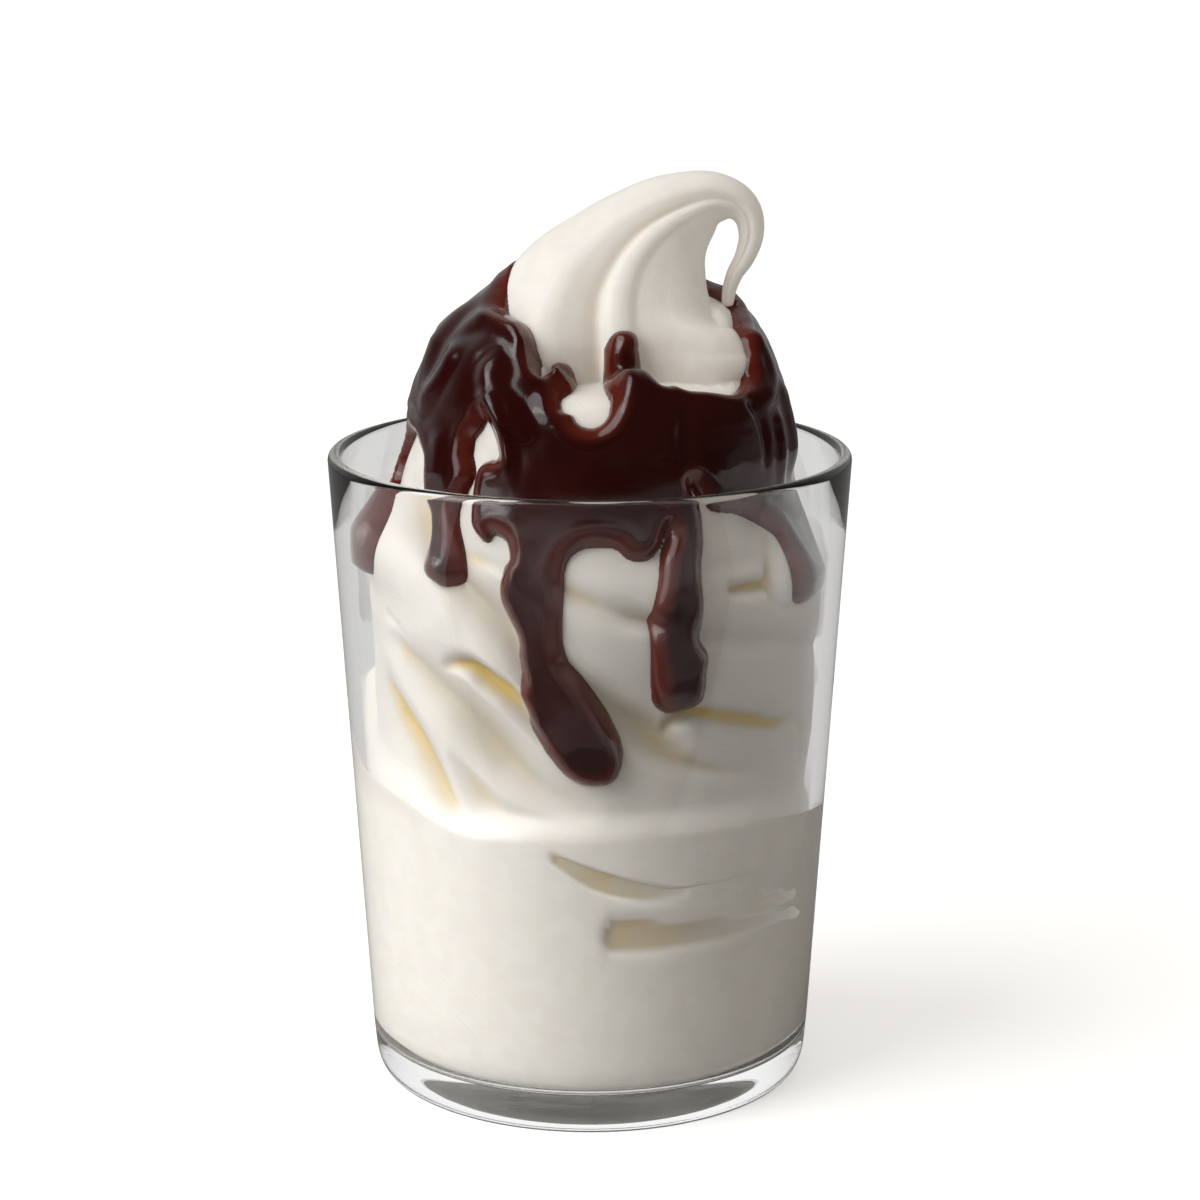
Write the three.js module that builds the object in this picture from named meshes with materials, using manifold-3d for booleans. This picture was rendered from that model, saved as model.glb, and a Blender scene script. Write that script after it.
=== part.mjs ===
// A hot fudge sundae in a clear tumbler: a ridged soft-serve swirl with a hooked peak, under a coat of
// fudge that runs down in drips. Millimetres, +Z up, origin at the centre of the tumbler's underside.
// Angles go round the tumbler in degrees: 0 is the front (-Y) and 90 is +X.
import * as THREE from 'three';
import { mergeVertices } from 'three/addons/utils/BufferGeometryUtils.js';
import Module from 'manifold-3d';

const wasm = await Module();
wasm.setup();

// ---- Driving dimensions ----
const GLASS_HEIGHT = 105.8;
const RIM_RADIUS = 43;
const HEEL_RADIUS_AT = 36.84; // outer radius where the wall meets the rounded heel
const HEEL_HEIGHT = 9;
const WALL = 2.3;
const BASE_THICKNESS = 6.4;
const FOOT_RADIUS = 32.5; // the flat underside
const HEEL_CURVE = [4, 3]; // the heel leaves the foot flat for [0] mm and meets the wall from [1] mm up
const RIM_ROUND = 1.2; // height over which the rim rounds over
const FLOOR_CORNER = 3; // rounding between the wall and the floor inside
const GAP = 0.3; // clearance between touching pieces

const GLASS_SEGMENTS = 48;
const GLASS_CURVE_STEPS = 3;
const SWIRL_SEGMENTS = 60;
const COAT_SEGMENTS = 72;
const PEAK_SIDES = 26;
const PEAK_STEPS = 18;
const DRIP_SIDES = 8;
const DRIP_STEPS = 8;

// Surfaces that the fudge lies on, as [radius, height] from the middle of the glass floor up.
const COAT_SIDE = [
  [0, 6.7], [29.5, 6.7], [33.4, 9.8], [35.2, 28], [36.2, 44], [35.8, 58], [36, 72], [36.5, 82], [35.8, 90],
  [33.4, 96], [31.2, 102], [30.2, 108], [29.2, 113], [28.3, 117.5], [25.8, 122.7], [22.6, 127],
  [18.6, 131], [10, 133.5], [0, 134],
];
// At the front there is a low shoulder that leaves the foot of the peak bare.
const COAT_FRONT = [
  ...COAT_SIDE.slice(0, 12), [29.6, 112.5], [28.8, 115.8], [26.3, 118.8], [22.6, 120.9],
  [20.2, 124.2], [18.8, 130.5], [0, 134],
];
// The ice cream follows the same surfaces and then turns in to a low crown round the peak's foot.
const SWIRL_SIDE = [
  ...COAT_SIDE.slice(0, 13), [27.8, 117], [25.3, 121.3], [22, 124.2], [16, 125.6], [8, 126], [0, 126.2],
];
const SWIRL_FRONT = [
  ...COAT_FRONT.slice(0, 14), [26.6, 118.3], [22, 119.6], [15, 120], [8, 120.3], [0, 120.5],
];
const COAT = { side: COAT_SIDE, front: COAT_FRONT };
const SWIRL = { side: SWIRL_SIDE, front: SWIRL_FRONT };
const CROWN_CENTRE = [3, 0, 121]; // hidden inside the peak
const SHOULDER_ANGLE = 10; // middle of the bare front
const SHOULDER_FULL = 25; // degrees each side with the full shoulder
const SHOULDER_END = 50;
const CROWN_SHIFT = [[98, 0], [110, 1.5], [125, 1.7], [133, 4.5]]; // the crown leans to +X with height

// Rows of the swirl from each outline point up to the next
const ROWS = [1, 1, 2, 3, 9, 9, 6, 5, 4, 3, 2, 2, 1, 1, 1, 1, 1, 1];

const RIDGE_PITCH = 10;
const CORE_GROWTH = 0.7; // how far the smooth core that the fudge is cut back from clears the ridges
const RIDGE_DEPTH = [[44, 3.4], [96, 3.4], [106, 1.5], [126, 0]]; // [level, depth]
const RIDGE_ROUNDNESS = 1.2;
const RIDGE_BASE_LEVEL = 58;
// How far a ridge has run down by each angle. One turn adds up to a whole number of ridges.
const RIDGES_PER_TURN = 4;
const RIDGE_FALL = [
  [-180, -2], [-90, -1], [-54, 0], [-36, 5.6], [-23, 12.7], [-3, 27], [7, 31],
  [19, 34.2], [43, 36.5], [58, 37.4], [180, RIDGES_PER_TURN * RIDGE_PITCH - 2],
];
// Grooves are uneven where the front shows them: their levels, one for each ridge pitch.
const FRONT_GROOVES = [48, 58, 66, 75, 91, 98, 105, 118, 128, 138, 148];
const FRONT_GROOVE_FIRST = -1;

// Below this level the ice cream is pressed flat on the glass.
const PRESSED_LEVEL = [
  [-180, 52], [-120, 62], [-90, 67.5], [-80, 61], [-72, 56.5], [-50, 54], [-30, 50.5], [15, 51.9],
  [48, 51], [62, 49.5], [85, 47], [100, 47], [140, 50], [180, 52],
];
const PRESSED_BLEND = 2.5;
const WALL_START = 2; // the outline point where the floor's corner has turned into the wall
const LEFT_SPREAD = { angle: -80, width: 44, level: 92, height: 9, amount: 2.8 }; // the fuller left side
const RIGHT_SPREAD_AT = 92; // the right side is fuller too: its angle, its half width in degrees
const RIGHT_SPREAD_WIDTH = 60;
const RIGHT_SPREAD = [[44, 0], [50, 0.6], [60, 1.8], [66, 2.2], [82, 2.4], [88, 0.6], [92, 0]]; // by level

// Levels between which the rows of the mesh slant with the ridges
const SLANT_LEVELS = [38, 58, 96, 118];

// The peak leans to +X and ends in a hook that curls back to touch its side: [x, z, radius]
const PEAK_LINE = [
  [4.7, 110, 17], [4.7, 118, 19], [4.8, 125, 19], [5.7, 131.5, 16.8], [8.2, 137, 12.6],
  [11.8, 141.8, 9.2], [15.6, 145.1, 6.7], [19.6, 146.9, 4.6], [23.3, 146.4, 3.2], [25.5, 144, 2.45],
  [26, 140.6, 2.05], [25, 137.2, 1.7], [23.5, 134.6, 1.4], [22.7, 131.8, 1],
];
// Its folds: the share of its radius by which it is drawn in at each angle round its own line
const PEAK_FOLDS = [
  [-180, 0.06], [-154, 0.02], [-132, 0.13], [-118, 0.03], [-95, 0], [-36, 0], [-26, 0.06], [-14, 0.14],
  [0, 0.03], [12, 0.09], [30, 0.08], [50, 0.05], [75, 0], [118, 0], [138, 0.05], [150, 0.13], [180, 0.06],
];
const PEAK_FOLD_SHIFT = [[0, 2], [2, 0], [3, -5], [4.7, -9], [6.7, 4], [8, 14], [12, 36]]; // [line point, degrees]
const TIP_LENGTH = 0.6; // of the tip's radius

const COAT_THICKNESS = 2.3;
const COAT_EDGE = 3; // distance over which the coat's edge rounds down
const COAT_SINK = 3.6; // how far the coat's edge dips into the ice cream
const COAT_ROWS = 9;
const COAT_INNER_ROWS = 2; // rows that close each edge up inside the ice cream
const COAT_CORE_LOW = [1, 100]; // [x, z] where the coat's two sides close up inside the ice cream
const COAT_CORE_HIGH = [4.5, 124];
// Lower and upper edges of the coat as [angle, level]
const COAT_LOWER_EDGE = [
  [-180, 99], [-168, 103], [-156, 98], [-143, 102], [-130, 108], [-120, 100], [-108, 98], [-96, 102],
  [-86, 101], [-80, 100.5], [-75, 104], [-68, 109.5], [-61, 107], [-55, 102], [-46, 101], [-42, 103],
  [-38, 110], [-35, 114.5], [-31, 110], [-28, 104], [-23, 96.5], [-10, 95], [-2, 96.4], [6, 96.4],
  [12, 94.8], [18, 96.8], [24, 99], [27, 103], [29, 106], [33, 102.5], [42, 100], [52, 98.5], [62, 97.5],
  [70, 98], [78, 103], [88, 106], [98, 100], [110, 97], [122, 101], [134, 106], [146, 99], [160, 97],
  [171, 102], [180, 99],
];
const COAT_UPPER_EDGE = [
  [-180, 139], [-120, 139], [-75, 140], [-60, 139], [-45, 138], [-34, 136], [-28, 134], [-24, 130],
  [-20, 129.5], [-16, 129.5], [-14, 126], [-13, 121], [-11, 118], [-8, 116], [-4, 116], [-1, 119],
  [1, 124], [4, 128], [11, 128], [15, 125], [21, 124], [32, 124], [45, 124.5], [50, 127], [53, 135],
  [58, 139], [110, 139], [180, 139],
];
// Drips run down the ice cream through [angle, level, half width]; a finger runs up the peak.
const DRIPS = [
  [[-83, 104, 2.6], [-80, 98, 2.4], [-73, 94, 4], [-69, 90.5, 4.4], [-70, 86, 2.4]],
  [[-47, 106, 3.6], [-45, 100, 3.2], [-41, 94, 4], [-39, 89.5, 3.8]],
  [[-30, 107.5, 2.6], [-28, 102, 2.7], [-27, 97, 2]],
  [[-16, 103, 5], [-14, 93.7, 4.5], [-14, 87.8, 4.6], [-13, 82, 4], [-12, 77.4, 4.2], [-9, 72.8, 4.6],
    [-5, 67.8, 4.8], [-0.5, 63.6, 4.5], [2.5, 60.5, 3.4]],
  [[25, 104, 3], [25, 99.6, 2.8], [24, 93.2, 3], [22, 87.7, 3.5], [21, 81.7, 4.3], [21, 75.4, 4],
    [21, 71.5, 3]],
  [[58, 104, 5], [62, 99, 4.6], [65, 94, 3.6], [63, 89.7, 3], [61, 85.5, 2.2]],
  [[112, 102, 4.4], [110, 92, 3.8], [107, 84, 4], [106, 77, 4.6], [106, 73, 3.4]],
  [[150, 102, 3.2], [151, 95, 2.8], [152, 88, 3.6], [152, 84.5, 3]],
  [[-172, 104, 4.6], [-174, 92, 4], [-177, 80, 4.2], [-180, 70, 4.8], [-181, 66, 3.6]],
  [[-136, 106, 3], [-134, 96, 2.6], [-132, 88, 3.4], [-131, 84, 3.2]],
  [[-110, 103, 4.2], [-111, 93, 3.4], [-109, 84, 3.8], [-108, 79, 4.2], [-108, 75.5, 3]],
  [[7, 121, 4.6], [8, 128, 3.2], [9, 134, 2.7], [9, 139, 2.4]],
];
const DRIP_THICKNESS = 2.4;

// ---- Curves and small helpers ----
const DEGREE = Math.PI / 180;
const { clamp, smoothstep } = THREE.MathUtils;

// Straight-line reading of a rising list of [x, value].
function along(list, x) {
  let k = 1;
  while (k < list.length - 1 && x > list[k][0]) k += 1;
  const [x0, y0] = list[k - 1];
  const [x1, y1] = list[k];
  return y0 + (y1 - y0) * clamp((x - x0) / (x1 - x0), 0, 1);
}

// Smooth curve through an outline, read at a fractional point number.
function outlineAt(outline, t) {
  const last = outline.length - 1;
  const k = Math.min(Math.floor(clamp(t, 0, last)), last - 1);
  const f = clamp(t, 0, last) - k;
  const pick = (i) => outline[clamp(i, 0, last)];
  return [0, 1].map((axis) => {
    const [a, b, c, d] = [k - 1, k, k + 1, k + 2].map((i) => pick(i)[axis]);
    const linear = (c - a) * f;
    const square = (2 * a - 5 * b + 4 * c - d) * f * f;
    const cube = (-a + 3 * b - 3 * c + d) * f * f * f;
    return 0.5 * (2 * b + linear + square + cube);
  });
}

const wrapAngle = (angle) => THREE.MathUtils.euclideanModulo(angle + 180, 360) - 180;
const glassOuter = (z) => HEEL_RADIUS_AT
  + ((RIM_RADIUS - HEEL_RADIUS_AT) * (z - HEEL_HEIGHT)) / (GLASS_HEIGHT - HEEL_HEIGHT);
const glassInner = (z) => glassOuter(z) - WALL;

// ---- The ice cream's surface ----
// Level: length along the side outline, which equals the height at outline point 10.
const LEVEL_POINT = 10;
const LEVEL_STEPS = 20;
const levelTable = (() => {
  const table = [[0, 0]];
  const steps = (COAT_SIDE.length - 1) * LEVEL_STEPS;
  let [r0, z0] = outlineAt(COAT_SIDE, 0);
  for (let i = 1; i <= steps; i += 1) {
    const [r1, z1] = outlineAt(COAT_SIDE, i / LEVEL_STEPS);
    table.push([i / LEVEL_STEPS, table[i - 1][1] + Math.hypot(r1 - r0, z1 - z0)]);
    [r0, z0] = [r1, z1];
  }
  const shift = COAT_SIDE[LEVEL_POINT][1] - along(table, LEVEL_POINT);
  return table.map(([t, length]) => [t, length + shift]);
})();
const levelOf = (t) => along(levelTable, t);
const pointOfLevel = (level) => along(levelTable.map(([t, length]) => [length, t]), level);

function outlineFor(angle, t, surface) {
  const away = Math.abs(wrapAngle(angle - SHOULDER_ANGLE));
  const share = 1 - smoothstep(away, SHOULDER_FULL, SHOULDER_END);
  const side = outlineAt(surface.side, t);
  const front = outlineAt(surface.front, t);
  return side.map((value, axis) => value + (front[axis] - value) * share);
}

// How far the surface is spread out at the left and right.
function spread(angle, level) {
  const byAngle = Math.max(0, 1 - Math.abs(wrapAngle(angle) - LEFT_SPREAD.angle) / LEFT_SPREAD.width);
  const byLevel = Math.max(0, 1 - Math.abs(level - LEFT_SPREAD.level) / LEFT_SPREAD.height);
  const atRight = Math.max(0, 1 - Math.abs(wrapAngle(angle) - RIGHT_SPREAD_AT) / RIGHT_SPREAD_WIDTH);
  return LEFT_SPREAD.amount * smoothstep(byAngle, 0, 1) * smoothstep(byLevel, 0, 1)
    + along(RIGHT_SPREAD, level) * smoothstep(atRight, 0, 1);
}

// A point at an angle and a place along the outline, moved out from the surface.
function surfacePoint(angle, t, out, surface) {
  const step = 0.01;
  const [r, z] = outlineFor(angle, t, surface);
  const [ra, za] = outlineFor(angle, t - step, surface);
  const [rb, zb] = outlineFor(angle, t + step, surface);
  const length = Math.hypot(rb - ra, zb - za) || 1;
  const off = out + spread(angle, levelOf(t));
  const radius = Math.max(0, r + (off * (zb - za)) / length);
  const height = z - (off * (rb - ra)) / length;
  const turn = angle * DEGREE;
  return new THREE.Vector3(
    along(CROWN_SHIFT, height) + radius * Math.sin(turn),
    -radius * Math.cos(turn),
    height,
  );
}

function ridgePhase(angle, level) {
  const reference = level + along(RIDGE_FALL, angle);
  const even = (reference - RIDGE_BASE_LEVEL) / RIDGE_PITCH;
  const levels = FRONT_GROOVES.map((groove, k) => [groove, k + FRONT_GROOVE_FIRST]);
  const uneven = along(levels, reference);
  const inRange = reference > FRONT_GROOVES[0] && reference < FRONT_GROOVES.at(-1);
  const front = inRange ? 1 - smoothstep(Math.abs(angle), 80, 130) : 0;
  return even + (uneven - even) * front;
}

// How far the mesh's rows have run down at an angle, beyond an even spiral.
function slant(angle, level) {
  const [low, lowFull, highFull, high] = SLANT_LEVELS;
  const share = smoothstep(level, low, lowFull) * (1 - smoothstep(level, highFull, high));
  const even = (RIDGES_PER_TURN * RIDGE_PITCH * (angle + 180)) / 360 + RIDGE_FALL[0][1];
  return (along(RIDGE_FALL, angle) - even) * share;
}

// Draws a point in towards the axis where it would come closer to the tumbler's wall than the gap.
function insideGlass(point) {
  const flat = Math.hypot(point.x, point.y);
  const share = flat > 0 ? Math.min(1, (glassInner(point.z) - GAP) / flat) : 1;
  return point.multiply(new THREE.Vector3(share, share, 1));
}

// A point of the ice cream: ridges above, pressed flat on the glass below.
function swirlPoint(angle, row) {
  const rowLevel = levelOf(row);
  const level = rowLevel - slant(angle, rowLevel);
  const t = pointOfLevel(level);
  const lobe = Math.abs(Math.sin(Math.PI * ridgePhase(angle, level))) ** RIDGE_ROUNDNESS;
  const pressedTo = along(PRESSED_LEVEL, angle);
  const pressed = 1 - smoothstep(level, pressedTo - PRESSED_BLEND, pressedTo + PRESSED_BLEND);
  const point = surfacePoint(angle, t, -along(RIDGE_DEPTH, level) * (1 - lobe) * (1 - pressed), SWIRL);
  const flat = Math.hypot(point.x, point.y);
  const onWall = t > WALL_START ? glassInner(point.z) - GAP : flat;
  const share = flat > 0 ? 1 + (onWall / flat - 1) * pressed : 1;
  return insideGlass(point.multiply(new THREE.Vector3(share, share, 1)));
}

// ---- Turning shapes into solids ----
function toSolid(geometry) {
  const bare = geometry.clone();
  bare.deleteAttribute('normal');
  bare.deleteAttribute('uv');
  const merged = mergeVertices(bare, 1e-4);
  const corners = merged.index.array;
  const kept = [];
  for (let i = 0; i < corners.length; i += 3) {
    const [a, b, c] = [corners[i], corners[i + 1], corners[i + 2]];
    if (a !== b && b !== c && c !== a) kept.push(a, b, c);
  }
  const mesh = new wasm.Mesh({
    numProp: 3,
    vertProperties: new Float32Array(merged.attributes.position.array),
    triVerts: new Uint32Array(kept),
  });
  return new wasm.Manifold(mesh);
}

function toGeometry(solid) {
  const { vertProperties, triVerts } = solid.getMesh();
  const geometry = new THREE.BufferGeometry();
  geometry.setAttribute('position', new THREE.BufferAttribute(new Float32Array(vertProperties), 3));
  geometry.setIndex(new THREE.BufferAttribute(new Uint32Array(triVerts), 1));
  geometry.computeVertexNormals();
  return geometry;
}

// A solid of revolution whose every vertex is then placed by place(angle, row).
function deformedLathe(rows, segments, place) {
  const profile = [];
  for (let row = 0; row < rows; row += 1) {
    const f = row / (rows - 1);
    profile.push(new THREE.Vector2(Math.sin(Math.PI * f), -Math.cos(Math.PI * f)));
  }
  const geometry = new THREE.LatheGeometry(profile, segments);
  const position = geometry.attributes.position;
  for (let i = 0; i < position.count; i += 1) {
    const column = Math.floor(i / rows) % segments;
    const point = place(-180 + (360 * column) / segments, i % rows);
    position.setXYZ(i, point.x, point.y, point.z);
  }
  return geometry;
}

const biggestPiece = (solid) => solid.decompose().sort((a, b) => b.volume() - a.volume())[0];

// ---- Tumbler ----
function makeGlass() {
  const outline = new THREE.Path();
  outline.moveTo(0, 0);
  outline.lineTo(FOOT_RADIUS, 0);
  const [flat, upright] = HEEL_CURVE;
  outline.bezierCurveTo(FOOT_RADIUS + flat, 0, glassOuter(0), upright, HEEL_RADIUS_AT, HEEL_HEIGHT);
  const shoulder = GLASS_HEIGHT - RIM_ROUND;
  const corner = BASE_THICKNESS + FLOOR_CORNER;
  outline.lineTo(glassOuter(shoulder), shoulder);
  outline.quadraticCurveTo(RIM_RADIUS, GLASS_HEIGHT, RIM_RADIUS - WALL / 2, GLASS_HEIGHT);
  outline.quadraticCurveTo(RIM_RADIUS - WALL, GLASS_HEIGHT, glassInner(shoulder), shoulder);
  outline.lineTo(glassInner(corner), corner);
  const floorEdge = glassInner(0) - FLOOR_CORNER;
  outline.quadraticCurveTo(glassInner(BASE_THICKNESS), BASE_THICKNESS, floorEdge, BASE_THICKNESS);
  outline.lineTo(0, BASE_THICKNESS);
  return new THREE.LatheGeometry(outline.getPoints(GLASS_CURVE_STEPS), GLASS_SEGMENTS).rotateX(Math.PI / 2);
}

// ---- Soft serve ----
function makeSwirl() {
  const rows = ROWS.flatMap((count, start) => (
    Array.from({ length: count }, (_, k) => start + k / count)
  )).concat(ROWS.length);
  return toSolid(deformedLathe(rows.length, SWIRL_SEGMENTS, (angle, row) => {
    if (row === 0) return new THREE.Vector3(0, 0, BASE_THICKNESS + GAP);
    if (row === rows.length - 1) return new THREE.Vector3(...CROWN_CENTRE);
    return swirlPoint(angle, rows[row]);
  }));
}

// The swirl without its ridges and a little larger: the fudge keeps clear of it.
function makeCore() {
  const last = ROWS.length;
  return toSolid(deformedLathe(last + 1, SWIRL_SEGMENTS, (angle, row) => {
    if (row === 0) return new THREE.Vector3(0, 0, BASE_THICKNESS);
    if (row === last) return new THREE.Vector3(...CROWN_CENTRE);
    return surfacePoint(angle, row, CORE_GROWTH, SWIRL);
  }));
}

function makePeak(grow) {
  const line = new THREE.CatmullRomCurve3(PEAK_LINE.map(([x, z]) => new THREE.Vector3(x, 0, z)));
  const radii = PEAK_LINE.map(([, , radius], k) => [k / (PEAK_LINE.length - 1), radius]);
  const side = new THREE.Vector3(0, 1, 0);
  const rows = PEAK_STEPS + 3;
  return toSolid(deformedLathe(rows, PEAK_SIDES, (angle, row) => {
    const capped = clamp((row - 1) / PEAK_STEPS, 0, 1);
    const centre = line.getPoint(capped);
    if (row === 0 || row === rows - 1) {
      const overshoot = row === 0 ? -grow : PEAK_LINE.at(-1)[2] * TIP_LENGTH + grow;
      return centre.addScaledVector(line.getTangent(capped), overshoot);
    }
    const across = new THREE.Vector3().crossVectors(side, line.getTangent(capped)).normalize();
    const turn = angle * DEGREE;
    const shift = along(PEAK_FOLD_SHIFT, capped * (PEAK_LINE.length - 1));
    const fold = along(PEAK_FOLDS, wrapAngle(angle - shift));
    const radius = along(radii, capped) * (1 - fold) + grow;
    return centre
      .addScaledVector(across, radius * Math.sin(turn))
      .addScaledVector(side, -radius * Math.cos(turn));
  }));
}

// ---- Fudge ----
// The coat: rows run from the lower edge to the upper edge, thick between and sunk at both edges.
function makeCoat() {
  const rows = COAT_ROWS + 2 * COAT_INNER_ROWS;
  return toSolid(deformedLathe(rows, COAT_SEGMENTS, (angle, row) => {
    const low = along(COAT_LOWER_EDGE, wrapAngle(angle));
    const high = along(COAT_UPPER_EDGE, wrapAngle(angle));
    const f = clamp((row - COAT_INNER_ROWS) / (COAT_ROWS - 1), 0, 1);
    const level = low + (high - low) * (0.5 - 0.5 * Math.cos(Math.PI * f));
    const edge = Math.min(level - low, high - level);
    const rise = Math.sqrt(1 - (1 - clamp(edge / COAT_EDGE, 0, 1)) ** 2);
    const out = (COAT_SINK + COAT_THICKNESS) * rise - COAT_SINK;
    const point = insideGlass(surfacePoint(angle, pointOfLevel(level), out, COAT));
    const past = Math.max(COAT_INNER_ROWS - row, row - (rows - 1 - COAT_INNER_ROWS), 0);
    const [x, z] = row < COAT_INNER_ROWS ? COAT_CORE_LOW : COAT_CORE_HIGH;
    return point.lerp(new THREE.Vector3(x, 0, z), past / COAT_INNER_ROWS);
  }));
}

// A drip: a rounded stroke that lies on the ice cream along its path.
function makeDrip(path) {
  const column = (axis) => path.map((stop, k) => [k / (path.length - 1), stop[axis]]);
  const place = (f, out) => {
    const t = pointOfLevel(along(column(1), f));
    return surfacePoint(along(column(0), f), t, out, COAT);
  };
  const rows = DRIP_STEPS + 1;
  return toSolid(deformedLathe(rows, DRIP_SIDES, (angle, row) => {
    const polar = (Math.PI * row) / DRIP_STEPS;
    const f = 0.5 - 0.5 * Math.cos(polar);
    const end = (1 - Math.abs(2 * f - 1) ** path.length) ** 0.5;
    const step = 0.02;
    const forward = place(Math.min(1, f + step), 0).sub(place(Math.max(0, f - step), 0)).normalize();
    const up = place(f, 1).sub(place(f, 0)).normalize();
    const across = new THREE.Vector3().crossVectors(up, forward).normalize();
    const turn = angle * DEGREE;
    const point = place(f, 0)
      .addScaledVector(across, -along(column(2), f) * end * Math.sin(turn))
      .addScaledVector(up, DRIP_THICKNESS * end * Math.cos(turn));
    return insideGlass(point);
  }));
}

// ---- Assembly ----
const swirl = makeSwirl().add(makePeak(0));
const core = makeCore().add(makePeak(CORE_GROWTH));
let fudge = makeCoat();
for (const path of DRIPS) fudge = fudge.add(makeDrip(path));
fudge = biggestPiece(fudge.subtract(core));

const glassMaterial = new THREE.MeshStandardMaterial({
  color: 0xeef3f3, roughness: 0.03, metalness: 0, transparent: true, opacity: 0.3,
});
const iceCreamMaterial = new THREE.MeshStandardMaterial({ color: 0xf6f1e4, roughness: 0.55, metalness: 0 });
const fudgeMaterial = new THREE.MeshStandardMaterial({ color: 0x33110d, roughness: 0.12, metalness: 0 });

const group = new THREE.Group();
const parts = [
  ['glass', makeGlass(), glassMaterial],
  ['soft_serve', toGeometry(biggestPiece(swirl)), iceCreamMaterial],
  ['hot_fudge', toGeometry(fudge), fudgeMaterial],
];
for (const [name, geometry, material] of parts) {
  const mesh = new THREE.Mesh(geometry, material);
  mesh.name = name;
  group.add(mesh);
}

export default group;
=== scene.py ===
"""Hot fudge sundae: a clear tumbler of soft serve with a hooked peak, under a coat of fudge with drips.

The frame and every finished mesh are in metres. The recipe's own sizes are in millimetres, and its angles go
round the tumbler in degrees: 0 is the front (-Y) and 90 is +X. A level is a length along the ice cream's side
outline, and equals the height at the outline's point LEVEL_POINT.
"""
import math

import bmesh
import bpy
import numpy as np
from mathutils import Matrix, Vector, noise
from mathutils.bvhtree import BVHTree


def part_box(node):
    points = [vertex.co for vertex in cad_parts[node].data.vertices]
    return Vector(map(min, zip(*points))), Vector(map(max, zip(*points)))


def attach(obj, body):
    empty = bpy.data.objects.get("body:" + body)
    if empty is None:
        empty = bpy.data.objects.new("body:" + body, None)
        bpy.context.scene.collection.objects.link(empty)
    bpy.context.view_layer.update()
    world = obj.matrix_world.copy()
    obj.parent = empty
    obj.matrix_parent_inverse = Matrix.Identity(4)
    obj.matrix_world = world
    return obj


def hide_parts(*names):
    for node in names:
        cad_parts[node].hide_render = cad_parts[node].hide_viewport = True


bl_info = {
    "name": "Hot Fudge Sundae",
    "version": (1, 0, 0),
    "blender": (4, 5, 0),
    "location": "View3D > Sidebar > Sundae",
    "description": "Builds a hot fudge sundae in a glass tumbler, with its floor and light",
    "category": "Add Mesh",
}

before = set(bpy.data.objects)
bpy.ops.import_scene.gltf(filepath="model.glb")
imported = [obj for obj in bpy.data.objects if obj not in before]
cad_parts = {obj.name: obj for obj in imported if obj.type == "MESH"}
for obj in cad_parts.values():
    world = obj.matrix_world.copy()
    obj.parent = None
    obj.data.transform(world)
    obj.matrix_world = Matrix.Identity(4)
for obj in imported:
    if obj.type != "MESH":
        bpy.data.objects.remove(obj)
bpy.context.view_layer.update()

MM = 0.001
GLASS_LOW, GLASS_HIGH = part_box("glass")

# ---- The tumbler, in millimetres ----
GLASS_HEIGHT = GLASS_HIGH.z / MM
RIM_RADIUS = GLASS_HIGH.y / MM
HEEL_RADIUS = 36.84
HEEL_HEIGHT = 9.0
FOOT_RADIUS = 32.5
HEEL_CURVE = (4.0, 3.0)
RIM_ROUND = 1.3
FLOOR_CORNER = 3.0
WALL_BITE = 0.12  # how far the ice cream reaches into the wall, so that no air shows between them

# ---- The ice cream's outlines as (radius, height), from the glass floor's middle up ----
COAT_SIDE = [
    (0, 6.4), (29.5, 6.4), (33.4, 9.8), (35.2, 28), (36.2, 44), (35.8, 58), (36, 72), (36.5, 82),
    (35.8, 90), (33.4, 96), (31.2, 102), (30.2, 108), (29.2, 113), (28.3, 117.5), (25.8, 122.7),
    (22.6, 127), (18.6, 131), (10, 133.5), (0, 134),
]
COAT_FRONT = COAT_SIDE[:12] + [
    (29.6, 112.5), (28.8, 115.8), (26.3, 118.8), (22.6, 120.9), (20.2, 124.2), (18.8, 130.5), (17.6, 137),
]
SWIRL_SIDE = COAT_SIDE[:13] + [
    (27.9, 117.2), (25.4, 122.3), (22.2, 126.5), (18.2, 130), (10, 131.5), (0, 132),
]
SWIRL_FRONT = COAT_FRONT[:14] + [(26.6, 118.3), (22, 119.6), (15, 120), (8, 120.3), (0, 120.5)]
COAT = (COAT_SIDE, COAT_FRONT)
SWIRL = (SWIRL_SIDE, SWIRL_FRONT)
CROWN_CENTRE = (3.0, 0.0, 121.0)
# The bare shoulder at the front fades in and out over these angles
SHOULDER_ANGLES = (-40.0, -15.0, 46.0, 70.0)
# By height, how far the outline leans to +X
CROWN_SHIFT = [(98, 0), (110, 1.5), (125, 1.7), (133, 4.5)]
LEVEL_POINT = 10
CORNER_POINT = 2  # the outline point where the floor's corner has turned into the wall
# Where the ice cream swells past its outline, at the left and at the right
LEFT_ANGLE, LEFT_WIDTH, LEFT_LEVEL, LEFT_HEIGHT = -80.0, 44.0, 92.0, 9.0
LEFT_SPREAD = 2.8
RIGHT_ANGLE, RIGHT_WIDTH = 92.0, 60.0
RIGHT_SPREAD = [(44, 0), (50, 0.6), (60, 1.8), (66, 2.2), (82, 2.4), (88, 0.6), (92, 0)]

# ---- The swirl's ridges ----
RIDGE_PITCH = 10.0
RIDGES_PER_TURN = 4
RIDGE_BASE_LEVEL = 58.0
# By level, how deep the grooves still are
RIDGE_FADE = [(44, 1), (96, 1), (106, 0.45), (126, 0)]
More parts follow.
